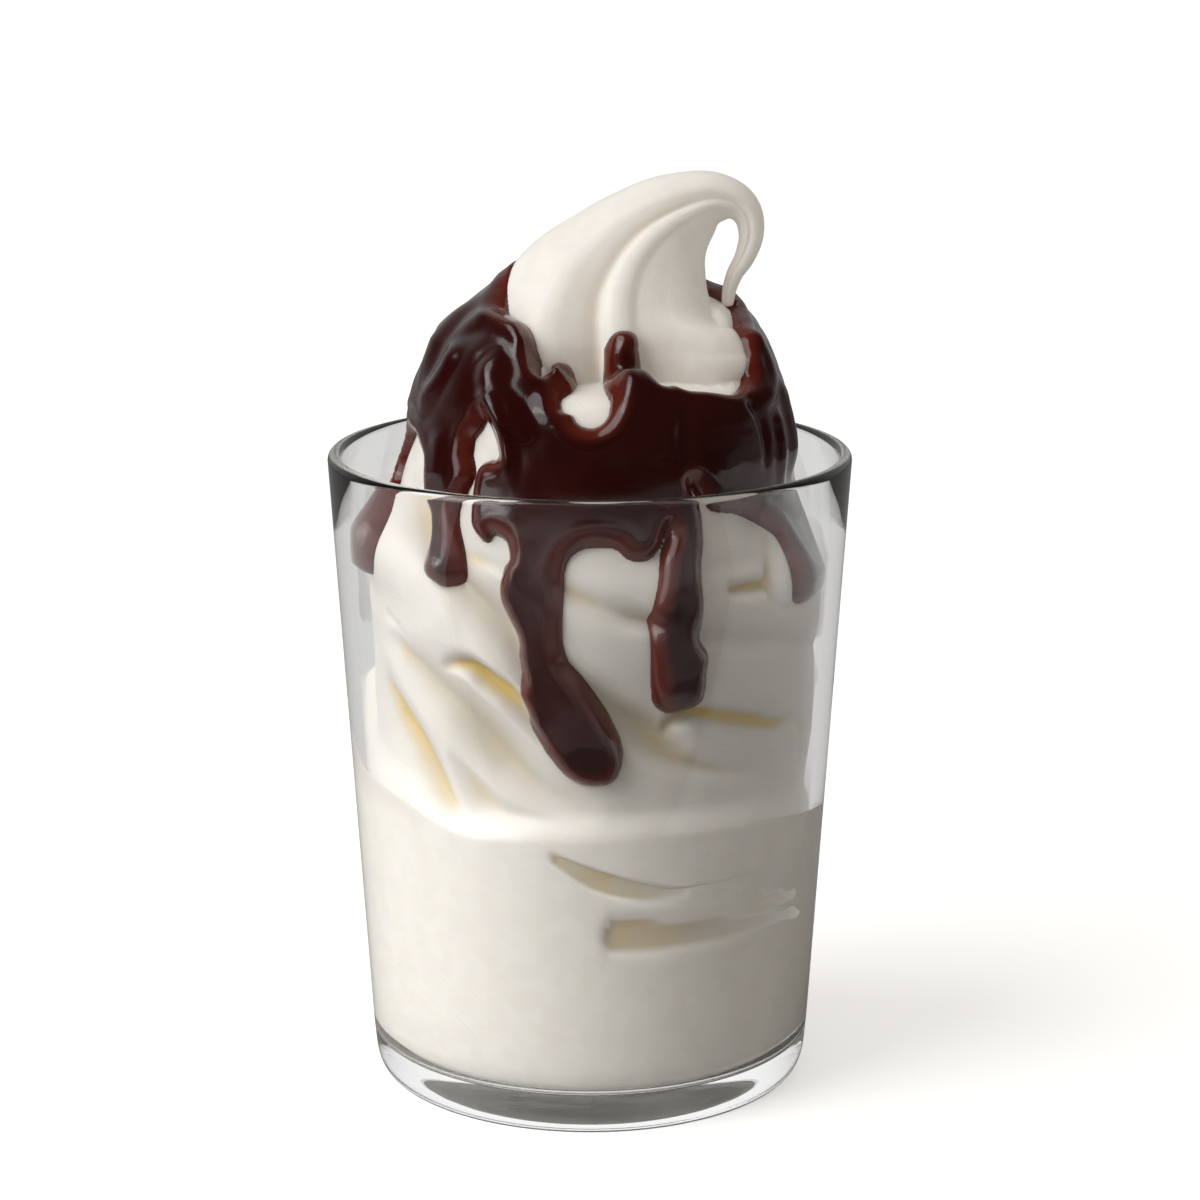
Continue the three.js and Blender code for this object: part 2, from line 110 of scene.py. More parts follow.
# By angle, how far the ridges have come down on their way round
RIDGE_FALL = [
    (-180, -2), (-90, -1), (-54, 0), (-36, 5.6), (-23, 12.7), (-3, 27), (7, 31), (19, 34.2), (43, 36.5),
    (58, 37.4), (180, RIDGES_PER_TURN * RIDGE_PITCH - 2),
]
FRONT_WINDOW = (76.0, 112.0)  # the ridges fade in from here to the sides; the front has its own creases
# By angle, the level up to which the ice cream is pressed against the glass
PRESSED_LEVEL = [
    (-180, 52), (-120, 62), (-90, 67.5), (-80, 61), (-72, 56.5), (-50, 54), (-37, 51), (-30, 50.1),
    (-15, 51.1), (15, 51.9), (48, 51), (62, 49.5), (85, 47), (100, 47), (140, 50), (180, 52),
]
PRESSED_BLEND = 2.4  # how far over and under that level it comes off the glass
SLANT_LEVELS = (38, 58, 96, 118)  # the mesh rows slant with the ridges between these
RIDGE_DEPTH = 3.4
RIDGE_WOBBLE = (0.07, 11.0)  # share of a ridge, and size of the patches
DEPTH_UNEVEN = (0.2, 16.0)  # share of the depth, and size of the patches
SWELLS = ((0.45, 12.0, 5), (0.16, 5.0, 3))  # height, size and seed of the surface's own unevenness
SUNK = 0.3  # how far the swirl lies under its outline, so that its swells stay inside
# painted yellow shade in the side grooves, growing with their depth
SIDE_CREASE_SHADE = 0.5
HOLLOW_EDGE = (-0.35, 0.45)  # over which distance a hollow's wall falls
# Mesh rows of the swirl: (share of the rows, level)
SWIRL_ROWS = [(0, -24), (0.035, 8), (0.14, 40), (0.93, 122), (1, 153)]
LOOSE_ZONE = (0.048, 0.058, 0.096, 0.108)  # heights in metres where the swirl stands off the glass; the cream gets painted shade over them
LOOSE_PAINTED_SHADE = 0.84  # how dark the painted shade leaves the cream there
SWIRL_SEGMENTS = 340
SWIRL_RINGS = 214

# Creases of the front: rows of (angle, level, half width, depth, how yellow the painted crease shade is)
CREASES = [
    [(-67, 100, 3, 1.5, 0.3), (-52, 96.5, 3.4, 2.6, 0.5), (-40, 91.7, 3.8, 3, 0.35),
     (-28, 86.1, 4, 3, 0.2), (-22, 82.6, 3.8, 3, 0.2), (-18, 78.8, 3, 2.6, 0.3), (-16, 74.8, 2, 1.6, 0.3)],
    [(-38, 93.5, 1.6, 1, 0.5), (-32, 93.7, 1.5, 1.2, 0.6), (-27, 93.1, 1.4, 1, 0.4),
     (-22, 92.3, 1.4, 0.8, 0.3)],
    [(-62, 81.4, 1, 0.4, 0), (-51, 77.8, 1.1, 0.6, 0.1), (-46, 75.3, 1.3, 0.9, 0.2),
     (-41, 74.7, 1.4, 1.2, 0.3), (-36, 76, 1.5, 1.8, 0.8), (-31, 75.8, 1.7, 2.8, 1),
     (-27, 74.2, 1.9, 3.2, 1), (-22, 72.4, 2, 3.2, 1), (-17, 69.5, 2, 2.6, 0.5), (-12, 66, 1.8, 1.6, 0.3)],
    [(-56, 76.7, 2.6, 1, 0.6), (-51, 74.6, 3.2, 1.8, 0.5), (-44, 71.7, 3.8, 2.6, 0.3),
     (-37, 69.1, 4.2, 3, 0.25), (-31, 66, 4.4, 3.2, 0.3), (-25, 63.1, 4.4, 3.2, 0.4),
     (-19, 60.3, 3.8, 2.6, 0.35), (-11, 57.1, 3, 1.5, 0.2), (-2, 54.8, 2.5, 0.6, 0.1)],
    [(-63, 68.3, 3.4, 1.4, 0.7), (-58, 64.8, 3.8, 2.2, 0.8), (-51, 61.4, 3.8, 2.6, 0.7),
     (-46, 58.1, 3.4, 2.6, 0.6), (-42, 55.3, 2.8, 2.2, 0.6), (-37, 52.2, 2.2, 1.6, 0.5),
     (-33, 50.6, 1.8, 0.8, 0.3)],
    [(-84, 66, 2.5, 1, 0.5), (-82, 60.8, 2.4, 1.4, 0.6), (-84, 56, 2, 0.8, 0.3)],
    [(-37, 60.8, 2, 0.8, 0.2), (-32, 57.6, 2.6, 1.4, 0.4), (-27, 54.5, 2.6, 1.6, 0.4),
     (-20, 52.6, 2.2, 1, 0.2), (-7, 52.1, 2, 0.4, 0.1)],
    [(-11, 91.1, 2.5, 1.5, 0.5), (-2, 88.5, 2.4, 1.5, 0.45), (7, 86.1, 2, 1.6, 0.3),
     (12, 85, 1.6, 2.2, 0.3), (16, 84.2, 1.5, 2.2, 0.3), (23, 82.4, 2, 1.6, 0.2),
     (28, 81.1, 2.4, 1.4, 0.3), (41, 79.8, 2.4, 1.2, 0.15), (55, 77.7, 2.2, 1, 0.1),
     (68, 75.2, 2, 0.8, 0.05), (90, 72, 2, 0.8, 0)],
    [(-7, 78, 1.6, 1, 0.3), (0, 73.6, 2.6, 2, 0.3), (7, 69.4, 3.4, 3, 0.35), (14, 66.7, 3.8, 3.4, 0.4),
     (20, 63.4, 3, 3, 0.5), (26, 60.7, 1.8, 2, 0.5), (35, 58.8, 1.6, 1.3, 0.4), (46, 57.1, 1.5, 0.6, 0.2)],
    [(20, 63.4, 2.2, 2.8, 0.5), (20, 66.5, 2, 2.6, 0.5), (22, 68.1, 1.8, 2.4, 0.6),
     (26, 68.9, 1.4, 2.2, 0.8), (31, 68.4, 1.4, 2.2, 0.9), (38, 67.1, 1.6, 2.4, 0.9),
     (47, 65.5, 1.7, 2.6, 1), (55, 64.1, 1.5, 2, 0.9), (61, 64, 1.4, 0.9, 0.5),
     (67, 61.7, 1.4, 0.8, 0.4), (67, 58.4, 1.4, 0.6, 0.3), (61, 57, 1.2, 0.3, 0.1)],
    [(39, 88, 0.9, 2, 0.8), (45, 87.9, 1, 3, 1), (51, 87.6, 1.1, 2.8, 0.9)],
    [(48, 98, 1.2, 0.5, 0.2), (54, 96.1, 1.2, 0.8, 0.3), (55, 93.5, 1.2, 1, 0.4),
     (54, 91, 1.2, 1.2, 0.5), (52, 88, 1, 1.8, 0.7), (53, 85, 1, 1, 0.3), (55, 83.2, 1, 0.5, 0.1)],
    [(32, 92.5, 1.6, 0.5, 0.2), (42, 92, 1.8, 0.6, 0.2), (52, 91.5, 1.5, 0.4, 0.1)],
]
# Hollows where the ice cream stands off the glass: rows of (angle, level, half width, depth, how yellow the
# painted shade is)
HOLLOWS = [
    [(-8, 46.5, 0.9, 0.6, 0.5), (2, 43, 1.8, 0.7, 0.5), (13, 40.9, 1.6, 0.6, 0.4),
     (23, 40.2, 0.8, 0.3, 0.2)],
    [(8, 33.4, 3.1, 0.8, 0.5), (18, 33, 2.8, 0.7, 0.5), (30, 32.8, 2.1, 0.6, 0.35),
     (45, 32.4, 1.5, 0.4, 0.2), (66, 30.5, 0.8, 0.2, 0.1)],
    [(47, 36.4, 1, 0.4, 0.5), (62, 34, 0.9, 0.3, 0.4)],
]
# A raised fold at the right: rows of (angle, level, half width, height)
TONGUE = [(54, 98, 1.6, 0.7), (57, 94, 1.9, 1.2), (57, 90, 2, 1.4), (56, 87, 1.9, 1.4), (56, 84.8, 1.3, 1)]

# ---- The peak, as (x, z, radius) ----
PEAK_LINE = [
    (4.7, 110, 17), (4.7, 118, 19), (4.8, 125, 19), (5.7, 131.5, 16.8), (8.2, 137, 12.6),
    (11.8, 141.7, 9.2), (15.6, 144.8, 6.7), (19.6, 146.6, 4.6), (23.3, 146.2, 3.2), (25.5, 144, 2.45),
    (26, 140.6, 2.05), (25, 137.2, 1.7), (23.5, 134.6, 1.4), (22.6, 132, 1.2), (22.3, 129.5, 1),
]
# Share of its radius by which the peak is drawn in, round its own line
PEAK_FOLDS = [
    (-180, 0.06), (-154, 0.02), (-132, 0.13), (-125, 0.03), (-95, 0), (-60, 0), (-36, 0), (-30, 0.02),
    (-24, 0.07), (-16, 0.135), (-12, 0.145), (-9, 0.1), (-5, 0.05), (0, 0.03), (5, 0.035), (8, 0.06),
    (11, 0.09), (30, 0.08), (50, 0.05), (75, 0.01), (90, 0), (118, 0), (140, 0.05), (151, 0.13),
    (157, 0.04), (180, 0.06),
]
# By line point, how far the folds turn round the peak, in degrees
PEAK_FOLD_SHIFT = [
    (0, 2), (2, 0), (3, -5), (4, -9), (4.7, -9), (5.6, -4), (6.7, 4), (7.3, 9), (8, 14), (13, 40),
]
# Where the peak is fuller, as (angle, its width, line point, its width, millimetres)
PEAK_FULLER = [
    (72, 30, 4.1, 0.9, 1.2), (55, 22, 1.5, 1.6, 5.6), (-70, 28, 2.3, 1.2, 2.8), (-38, 14, 1.6, 1.2, 3.2),
]
PEAK_SEGMENTS = 160
PEAK_RINGS = 150
PEAK_DEEPEST = 0.14  # the fold at which the painted shade in the peak's creases is at its yellowest
PEAK_UNEVEN = (0.012, 7.0)  # share of the radius, and size of the patches
TIP_LENGTH = 0.6

# ---- The fudge: edges of the coat as (angle, level) ----
COAT_LOWER_EDGE = [
    (-180, 99), (-168, 103), (-156, 98), (-143, 102), (-130, 108), (-120, 100), (-108, 98), (-100, 103),
    (-94, 109), (-88, 111.5), (-80, 110.5), (-75, 109.8), (-71, 109.6), (-65.5, 108.3), (-61.5, 106.8),
    (-59.5, 104.5), (-57.5, 102.5), (-56, 100.7), (-53, 99.3), (-50, 97.9), (-49.5, 96), (-49, 94),
    (-48, 92.5), (-46, 90.4), (-42.5, 89.1), (-40, 88.8), (-37, 89.5), (-35.5, 91.1), (-35.7, 93.1),
    (-37, 95.1), (-39.2, 97.4), (-41, 99.6), (-41, 101.7), (-40.5, 103.5), (-39.5, 105), (-39.2, 106.3),
    (-40.2, 107.7), (-41.8, 109.1), (-42, 110.9), (-41.5, 112), (-39, 113.6), (-38, 115.1), (-37, 115.4),
    (-34.5, 114.3), (-32, 112.3), (-30.7, 110.6), (-30.3, 109.4), (-31.5, 108.6), (-33.5, 108.4),
    (-35.7, 107.9), (-36.7, 106.8), (-36.7, 105), (-36.4, 103.1), (-35, 100.8), (-33.5, 98.5),
    (-30.5, 97), (-28, 96.4), (-27, 97.5), (-25.5, 97.7), (-22.5, 97), (-21, 95.6), (-20.5, 93.7),
    (-22, 92.7), (-22, 91.3), (-22.5, 89.8), (-22.5, 87.5), (-21.5, 85.7), (-20, 83.7), (-18.5, 82),
    (-18, 80.3), (-18, 78.4), (-17, 76), (-17, 72.6), (-16, 70), (-15, 67.6), (-13, 65.8), (-11, 64.1),
    (-8.5, 62.1), (-6, 60.3), (-3, 59.1), (0, 58.6), (2.5, 58.6), (5, 59), (6.5, 60), (7.5, 61.5),
    (8, 63.3), (7.5, 65.3), (6, 67.3), (4.5, 69.1), (2.5, 71), (0.5, 72.8), (-1.5, 74.6), (-3.5, 76.3),
    (-5.5, 77.9), (-6.5, 80), (-7, 81.9), (-7, 88.1), (-7, 91.8), (-6.7, 93.3), (-5.5, 94.9), (-3, 96.1),
    (0.5, 96.6), (6, 96.5), (8.5, 95.8), (10.5, 94.7), (14, 94.4), (16.5, 94.9), (19, 96.4),
    (20.5, 98.1), (21.3, 98.8), (21.5, 97.1), (20, 95.3), (19, 93.7), (18, 90.7), (17, 88.5), (16, 85.9),
    (15.5, 84), (15.5, 80.1), (16, 73.6), (16.7, 71.4), (18.5, 70.1), (21, 69.4), (23.5, 69.4),
    (26, 69.8), (28, 71.1), (29, 73.4), (29, 75.6), (29.5, 77.6), (29.3, 79.1), (28, 80.8), (27.6, 83.3),
    (28, 87.1), (28.2, 90.1), (29.5, 93.2), (31.3, 96.2), (31.8, 98.7), (31.4, 100.8), (30.7, 102.2),
    (29.4, 103.6), (28, 105.1), (27.7, 106.1), (29, 105.7), (30.5, 104.5), (32.5, 103.1), (34.5, 101.7),
    (36.5, 100.4), (44, 99.5), (50.5, 98.2), (55.5, 96.2), (58.5, 94.3), (59, 92.2), (58.7, 90),
    (58.5, 88), (58.5, 85.9), (59, 84.3), (61.5, 83.6), (66.5, 84), (69.5, 85.4), (71.5, 86.9),
    (75, 89.5), (80, 92), (84, 95), (88, 99), (94, 102), (102, 99), (110, 97), (122, 101), (134, 106),
    (146, 99), (160, 97), (171, 102), (180, 99),
]
COAT_UPPER_EDGE = [
    (-180, 139), (-130, 139.5), (-119.5, 139.5), (-103.5, 138.7), (-82, 137.7), (-69.5, 135.4),
    (-60.5, 133.7), (-57, 132.7), (-52.5, 132), (-45, 131.4), (-39, 130.9), (-34, 130.7), (-30.5, 130.6),
    (-27.5, 130), (-25.5, 128.3), (-24, 127), (-22.5, 126.7), (-21.5, 128.4), (-21, 130.9), (-19.5, 132.1),
    (-18, 133), (-15.5, 133.1), (-13, 131.5), (-11.5, 129.1), (-12, 126.4), (-13.5, 124), (-13.5, 121.8),
    (-12.5, 119.6), (-11, 118.9), (-9, 118.5), (-8, 117.2), (-6, 116.1), (-3.5, 115.6), (-1, 115.7),
    (1.5, 116.7), (3, 118), (4, 120), (4.4, 123), (4, 125.2), (3, 128.4), (2.7, 130.8), (3.2, 133.6),
    (3.5, 136.6), (4, 138.5), (5.5, 139.6), (8, 140), (11.5, 139.8), (15, 139), (17.5, 137.1),
    (19.2, 133.7), (20, 130.3), (20.5, 126.9), (21.5, 125), (24.5, 125.2), (27, 125.2), (29, 124.6),
    (31.5, 123.8), (37, 123), (44, 121.5), (50, 121), (56, 121.2), (60, 122.4), (63, 124.6), (67, 127),
    (72, 129), (79, 130.5), (88, 132), (102, 135), (130, 138.5), (180, 139),
]
# Drips as (angle, level, half width) from the coat down, apart from those in the lower edge itself
DRIPS = [
    [(-80, 113, 1.8), (-85.5, 109.1, 0.8), (-88.5, 106, 0.55), (-89.5, 103.2, 0.5), (-88, 100.5, 0.6),
     (-84, 98.2, 1.2), (-78, 95.5, 2.3), (-72, 92.6, 3.0), (-70, 90.4, 2.6), (-69.5, 88.8, 1.6)],
    [(112, 102, 4.4), (110, 92, 3.8), (107, 84, 4), (106, 77, 4.6), (106, 73, 3.4)],
    [(150, 102, 3.2), (151, 95, 2.8), (152, 88, 3.6), (152, 84.5, 3)],
    [(-172, 104, 4.6), (-174, 92, 4), (-177, 80, 4.2), (-180, 70, 4.8), (-181, 66, 3.6)],
    [(-136, 106, 3), (-134, 96, 2.6), (-132, 88, 3.4), (-131, 84, 3.2)],
    [(-110, 103, 4.2), (-111, 93, 3.4), (-109, 84, 3.8), (-108, 79, 4.2), (-108, 75.5, 3)],
]
# Fuller places, mostly the ends of drips, as (angle, level, width, height)
BULBS = [
    (-42, 93, 3.4, 0.7), (-28, 98.5, 2.2, 0.5), (3, 63.5, 5, 0.8), (22, 73.5, 4.2, 0.7),
    (66, 87.5, 3.6, 0.6), (-72, 92, 3.5, 0.6), (106, 76, 4, 0.7), (152, 86, 4, 0.7),
    (-180, 69, 4.5, 0.8), (-131, 85, 3.5, 0.7), (-108, 78, 4, 0.7), (-16.5, 130.5, 3.2, 2.6),
    (9, 135, 3, 0.5), (-48, 121, 5.5, 0.9), (12, 125.5, 4.6, 2.6), (-42.5, 90.5, 2.6, 1.2),
]
# Strands that stand up from the coat: path of (angle, level), half width, height
STRANDS = [
    ([(-70, 127.5), (-62, 129.2), (-52, 130.4), (-42, 130.2), (-33, 129), (-27, 126.5),
      (-23, 122)], 2.2, 1.5),
    ([(-40, 126), (-36.5, 124), (-36, 121), (-33, 118.7), (-28, 117), (-24, 114.5),
      (-22, 111.5)], 2.4, 1.3),
    ([(-41, 116), (-36, 117.8), (-31.5, 116.8), (-28.5, 114), (-26.5, 110.8), (-25, 107.6),
      (-24, 103)], 1.4, 0.9),
    ([(-58, 127), (-58, 123), (-61, 119.5), (-66, 116.5), (-72, 113)], 2.4, 0.9),
    ([(-82, 134), (-78, 128), (-76, 122), (-79, 116)], 2.8, 0.9),
    ([(-55, 113), (-52, 108), (-50, 103)], 2.2, 0.5),
    ([(64, 130), (70, 125), (70, 121), (66, 118.4), (59, 117.2), (52, 117)], 1.8, 1.1),
    ([(49.5, 119.8), (52, 117.4), (55, 114.5), (56.5, 111), (56.5, 103)], 1.2, -0.7),
    ([(72, 121), (76, 115), (77, 108), (76, 100)], 2.2, 0.9),
    ([(64.5, 115), (66, 112), (66, 107), (66, 98)], 1.6, 0.7),
    ([(27.5, 120.5), (25.5, 116.7), (24.5, 113), (25.5, 109.5), (26.5, 106.5)], 1.5, -0.7),
    ([(8, 134), (9, 128), (11, 122), (12, 116)], 2.2, 0.5),
    ([(100, 134), (104, 122), (110, 108), (111, 96)], 3.0, 0.9),
    ([(140, 134), (146, 120), (150, 108), (151, 98)], 2.8, 0.8),
    ([(178, 134), (182, 120), (187, 108), (187, 96)], 3.2, 1.0),
    ([(-140, 134), (-138, 120), (-136, 108), (-135, 98)], 2.6, 0.8),
    ([(-112, 134), (-108, 122), (-110, 108), (-111, 96)], 3.0, 1.0),
]
COAT_GRID = (512, 200)
COAT_LEVELS = (56.0, 143.0)
EDGE_GROWTH = 0.35  # the coat's rounded edge shows narrower than its traced line
COAT_OUTSIDE = 2.0  # how far past its edge the coat's mesh goes on, down inside the ice cream
LYING_RANGE = 7.0  # how far over and under the smooth outline the ice cream is looked for
# Where the peak's tail comes down: degrees each side of +X, levels, and how much lower the search starts
TAIL_WIDTH, TAIL_LEVELS, TAIL_CLEARANCE = 40.0, (116.0, 123.0), 6.6
LYING_BLUR = 7  # grid cells each way over which the coat evens out what it lies on
COAT_CORE = ((10.0, 100.0), (8.0, 118.0))  # (radius, height) of the rings that close it up inside
COAT_SPLIT = 119.5  # the coat's upper edge lies over this height, its lower edge under it
COAT_SINK = 2.2  # how steeply the mesh goes down past the edge
COAT_BEAD = (0.3, 2.2, 1.2)  # height, distance from the edge and width of the roll along it
COAT_RIPPLES = ((0.30, 9.0, 6), (0.10, 4.0, 7))  # height, size and seed
COAT_CLEARANCE = 0.15  # between the fudge and the glass
THIN_DEPTH = 3.2  # the fudge looks thin up to this distance inside its edge
FOLLOWED = (0.4, 3.4)  # distances inside the edge over which the coat stops following the ice cream closely

# ---- The stage, in metres ----
CAMERA_PLACE = (1.66 * MM, -522 * MM, 207 * MM)
CAMERA_PITCH = math.radians(13.65)
CAMERA_LENS = 97.35
FLOOR_SIZE = (24.0, 24.0)
FLOOR_PLACE = (0.0, 0.0, -0.03 * MM)
FLOOR_SEEN, FLOOR_MIRRORED, FLOOR_GLOW = (0.95, 0.935), 0.3, 0.46
CARD_SIZE = (6.0, 3.0)
CARD_PLACE = (2.3, -1.62, 0.004)
CARD_FADE, CARD_IN_FUDGE = (-0.7, -0.2), ((0.01, 0.01, 0.01, 1), (0.06, 0.055, 0.055, 1))
CARD_GLASS_FADE, CARD_IN_GLASS = (-0.32, -0.18), ((0.38, 0.38, 0.38, 1), (0.08, 0.08, 0.08, 1))
SUN_STRENGTH, SUN_ANGLE, SUN_DIRECTION = 1.25, math.radians(45), (0.85, 0.30, -1.0)
KEY_PLACE, KEY_TARGET, KEY_SIZE = (-0.55, -0.38, 0.40), (0, 0, 0.09), (0.40, 0.50)
SKY_TINT = (1.0, 0.93, 0.85, 1.0)
FILL_FROM, FILL_SHARE = (-0.1, 0.8), 1.5  # the light from all round grows to the right, up to this share
# Brightness of the studio by direction, as (direction from, direction to, brightness from, brightness to)
SEEN_BEHIND = (-0.6, 0.1, 0.25, 1.0)
SEEN_ABOVE = (0.1, 0.5, 0.25, 0.9)
MIRRORED_BEHIND = (0.1, 0.8, 0.03, 0.45)
BOUNCES = {"max_bounces": 24, "glossy_bounces": 12, "transmission_bounces": 20, "transparent_max_bounces": 16}


# ---------------------------------------------------------------- settings
class TumblerSettings(bpy.types.PropertyGroup):
    """Sizes of the tumbler and its number of faces round."""

    wall: bpy.props.FloatProperty(
        name="Wall", description="Thickness of the glass wall",
        default=2.3 * MM, min=1.0 * MM, max=5.0 * MM, unit="LENGTH",
    )
    base: bpy.props.FloatProperty(
        name="Base", description="Thickness of the glass under the ice cream",
        default=6.4 * MM, min=3.0 * MM, max=15.0 * MM, unit="LENGTH",
    )
    segments: bpy.props.IntProperty(
        name="Segments", description="Faces round the tumbler", default=160, min=48, max=256,
    )


class IceCreamSettings(bpy.types.PropertyGroup):
    """Shape and colours of the soft serve."""

    ridge_depth: bpy.props.FloatProperty(
        name="Ridge depth", description="Depth of the grooves between the ridges",
        default=RIDGE_DEPTH * MM, min=0.0, max=5.0 * MM, unit="LENGTH",
    )
    ridge_roundness: bpy.props.FloatProperty(
        name="Ridge roundness", description="Low for round rolls with sharp creases, high for waves",
        default=0.85, min=0.4, max=2.0, subtype="FACTOR",
    )
    cream: bpy.props.FloatVectorProperty(
        name="Cream", description="Colour of the ice cream",
        default=(0.94, 0.90, 0.845), size=3, min=0.0, max=1.0, subtype="COLOR",
    )
    # painted shade down in the creases, yellow as the cream looks where light goes through it
    crease_shade: bpy.props.FloatVectorProperty(
        name="Crease", description="Colour down in the creases, where light goes through",
        default=(0.74, 0.55, 0.20), size=3, min=0.0, max=1.0, subtype="COLOR",
    )
    # painted shade low down between the ridges, in the hollows off the glass and in the peak's folds
    hollow_shade: bpy.props.FloatVectorProperty(
        name="Hollow", description="Colour low down between the ridges, out of the light",
        default=(0.56, 0.50, 0.40), size=3, min=0.0, max=1.0, subtype="COLOR",
    )


class FudgeSettings(bpy.types.PropertyGroup):
    """Thickness and colours of the fudge."""

    thickness: bpy.props.FloatProperty(
        name="Thickness", description="Thickness of the coat away from its edges",
        default=2.3 * MM, min=0.8 * MM, max=4.0 * MM, unit="LENGTH",
    )
    edge: bpy.props.FloatProperty(
        name="Edge", description="Distance over which the coat rounds down to its edge",
        default=3.6 * MM, min=1.0 * MM, max=6.0 * MM, unit="LENGTH",
    )
    dark: bpy.props.FloatVectorProperty(
        name="Dark", description="Colour where the fudge is thick",
        default=(0.024, 0.0020, 0.0014), size=3, min=0.0, max=1.0, subtype="COLOR",
    )
    thin: bpy.props.FloatVectorProperty(
        name="Thin", description="Colour where the fudge is thin",
        default=(0.10, 0.013, 0.007), size=3, min=0.0, max=1.0, subtype="COLOR",
    )


class StageSettings(bpy.types.PropertyGroup):
    """Floor colour and light."""

    floor: bpy.props.FloatVectorProperty(
        name="Floor", description="Colour of the floor",
        default=(0.66, 0.66, 0.66), size=3, min=0.0, max=1.0, subtype="COLOR",
    )
    key_power: bpy.props.FloatProperty(
        name="Key power", description="Power of the large soft light at the left",
        default=1.6, min=0.0, max=50.0, unit="POWER",
    )
    sky: bpy.props.FloatProperty(
        name="Sky", description="Strength of the light from all round", default=0.36, min=0.0, max=2.0,
    )


# ---------------------------------------------------------------- numbers and curves
def along(table, x):
    """Straight-line reading of a rising list of (x, value)."""
    places, values = zip(*table)
    return np.interp(x, places, values)


def smoothstep(x, low, high):
    x = np.clip((x - low) / (high - low), 0.0, 1.0)
    return x * x * (3.0 - 2.0 * x)


def wrap(angle):
    return (angle + 180.0) % 360.0 - 180.0


def curve_at(points, t):
    """Smooth curve through points, read at fractional point numbers."""
    points = np.asarray(points, float)
    last = len(points) - 1
    t = np.clip(np.asarray(t, float), 0, last)
    k = np.minimum(t.astype(int), last - 1)
    f = (t - k)[..., None]
    a, b, c, d = (points[np.clip(k + i, 0, last)] for i in (-1, 0, 1, 2))
    return 0.5 * (2 * b + (c - a) * f + (2 * a - 5 * b + 4 * c - d) * f**2 + (3 * b - a - 3 * c + d) * f**3)


def smooth_path(points, per_span):
    """A list of rows resampled along a smooth curve."""
    spans = len(points) - 1
    return curve_at(points, np.linspace(0, spans, spans * per_span + 1))


def level_table():
    steps = np.linspace(0, len(COAT_SIDE) - 1, 361)
    outline = curve_at(COAT_SIDE, steps)
    length = np.concatenate([[0.0], np.cumsum(np.hypot(*np.diff(outline, axis=0).T))])
    return steps, length + COAT_SIDE[LEVEL_POINT][1] - np.interp(LEVEL_POINT, steps, length)


LEVEL_STEPS, LEVELS = level_table()


def outline_place(level):
    """The fractional outline point at a level."""
    return np.interp(level, LEVELS, LEVEL_STEPS)


def glass_outer(z):
    return HEEL_RADIUS + (RIM_RADIUS - HEEL_RADIUS) * (z - HEEL_HEIGHT) / (GLASS_HEIGHT - HEEL_HEIGHT)


def glass_inner(z):
    return glass_outer(z) - bpy.context.scene.tumbler.wall / MM


def outline_for(angle, t, surface):
    side, front = surface
    start, full, last, end = SHOULDER_ANGLES
    turn = wrap(angle)
    share = smoothstep(turn, start, full) * (1 - smoothstep(turn, last, end))
    return curve_at(side, t) * (1 - share)[..., None] + curve_at(front, t) * share[..., None]


def spread(angle, level):
    """How far the ice cream swells past its outline at the left and right."""
    by_angle = smoothstep(1 - np.abs(wrap(angle) - LEFT_ANGLE) / LEFT_WIDTH, 0, 1)
    by_level = smoothstep(1 - np.abs(level - LEFT_LEVEL) / LEFT_HEIGHT, 0, 1)
    at_right = smoothstep(1 - np.abs(wrap(angle) - RIGHT_ANGLE) / RIGHT_WIDTH, 0, 1)
    return LEFT_SPREAD * by_angle * by_level + along(RIGHT_SPREAD, level) * at_right


def surface_point(angle, level, out, surface):
    """Points at angles and levels, moved out from the surface, as an array of (x, y, z)."""
    t = outline_place(level)
    step = 0.01
    r, z = np.moveaxis(outline_for(angle, t, surface), -1, 0)
    dr, dz = np.moveaxis(outline_for(angle, t + step, surface) - outline_for(angle, t - step, surface), -1, 0)
    length = np.maximum(np.hypot(dr, dz), 1e-9)
    off = out + spread(angle, level)
    radius = np.maximum(0, r + off * dz / length)
    height = z - off * dr / length
    turn = np.radians(angle)
    x = along(CROWN_SHIFT, height) + radius * np.sin(turn)
    return np.stack([x, -radius * np.cos(turn), height], -1)


def scaled_to(points, radius):
    """Points drawn to a distance from the axis."""
    flat = np.maximum(np.hypot(points[:, 0], points[:, 1]), 1e-9)
    share = radius / flat
    return points * np.stack([share, share, np.ones_like(share)], -1)


# ---------------------------------------------------------------- meshes
def sphere_mesh(name, segments, rings):
    """A closed sphere as a mesh, with each vertex's angle and its share of the way up."""
    shape = bmesh.new()
    bmesh.ops.create_uvsphere(shape, u_segments=segments, v_segments=rings, radius=1.0)
    mesh = bpy.data.meshes.new(name)
    shape.to_mesh(mesh)
    shape.free()
    places = read_places(mesh)
    angle = np.degrees(np.arctan2(places[:, 0], -places[:, 1]))
    share = np.arccos(np.clip(-places[:, 2], -1, 1)) / math.pi
    return mesh, angle, share


def read_places(mesh):
    flat = np.empty(len(mesh.vertices) * 3)
    mesh.vertices.foreach_get("co", flat)
    return flat.reshape(-1, 3)


def write_places(mesh, places):
    mesh.vertices.foreach_set("co", np.asarray(places, np.float32).ravel())
    mesh.update()


def write_attribute(mesh, name, values):
    kind, key = ("FLOAT", "value") if values.ndim == 1 else ("FLOAT_VECTOR", "vector")
    layer = mesh.attributes.new(name, kind, "POINT")
    layer.data.foreach_set(key, values.astype(np.float32).ravel())


def new_piece(name, mesh, material=None):
    piece = bpy.data.objects.new(name, mesh)
    bpy.context.scene.collection.objects.link(piece)
    if material is not None:
        mesh.materials.append(material)
    return piece


def finish_piece(piece, node):
    for face in piece.data.polygons:
        face.use_smooth = True
    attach(piece, "root")
    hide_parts(node)


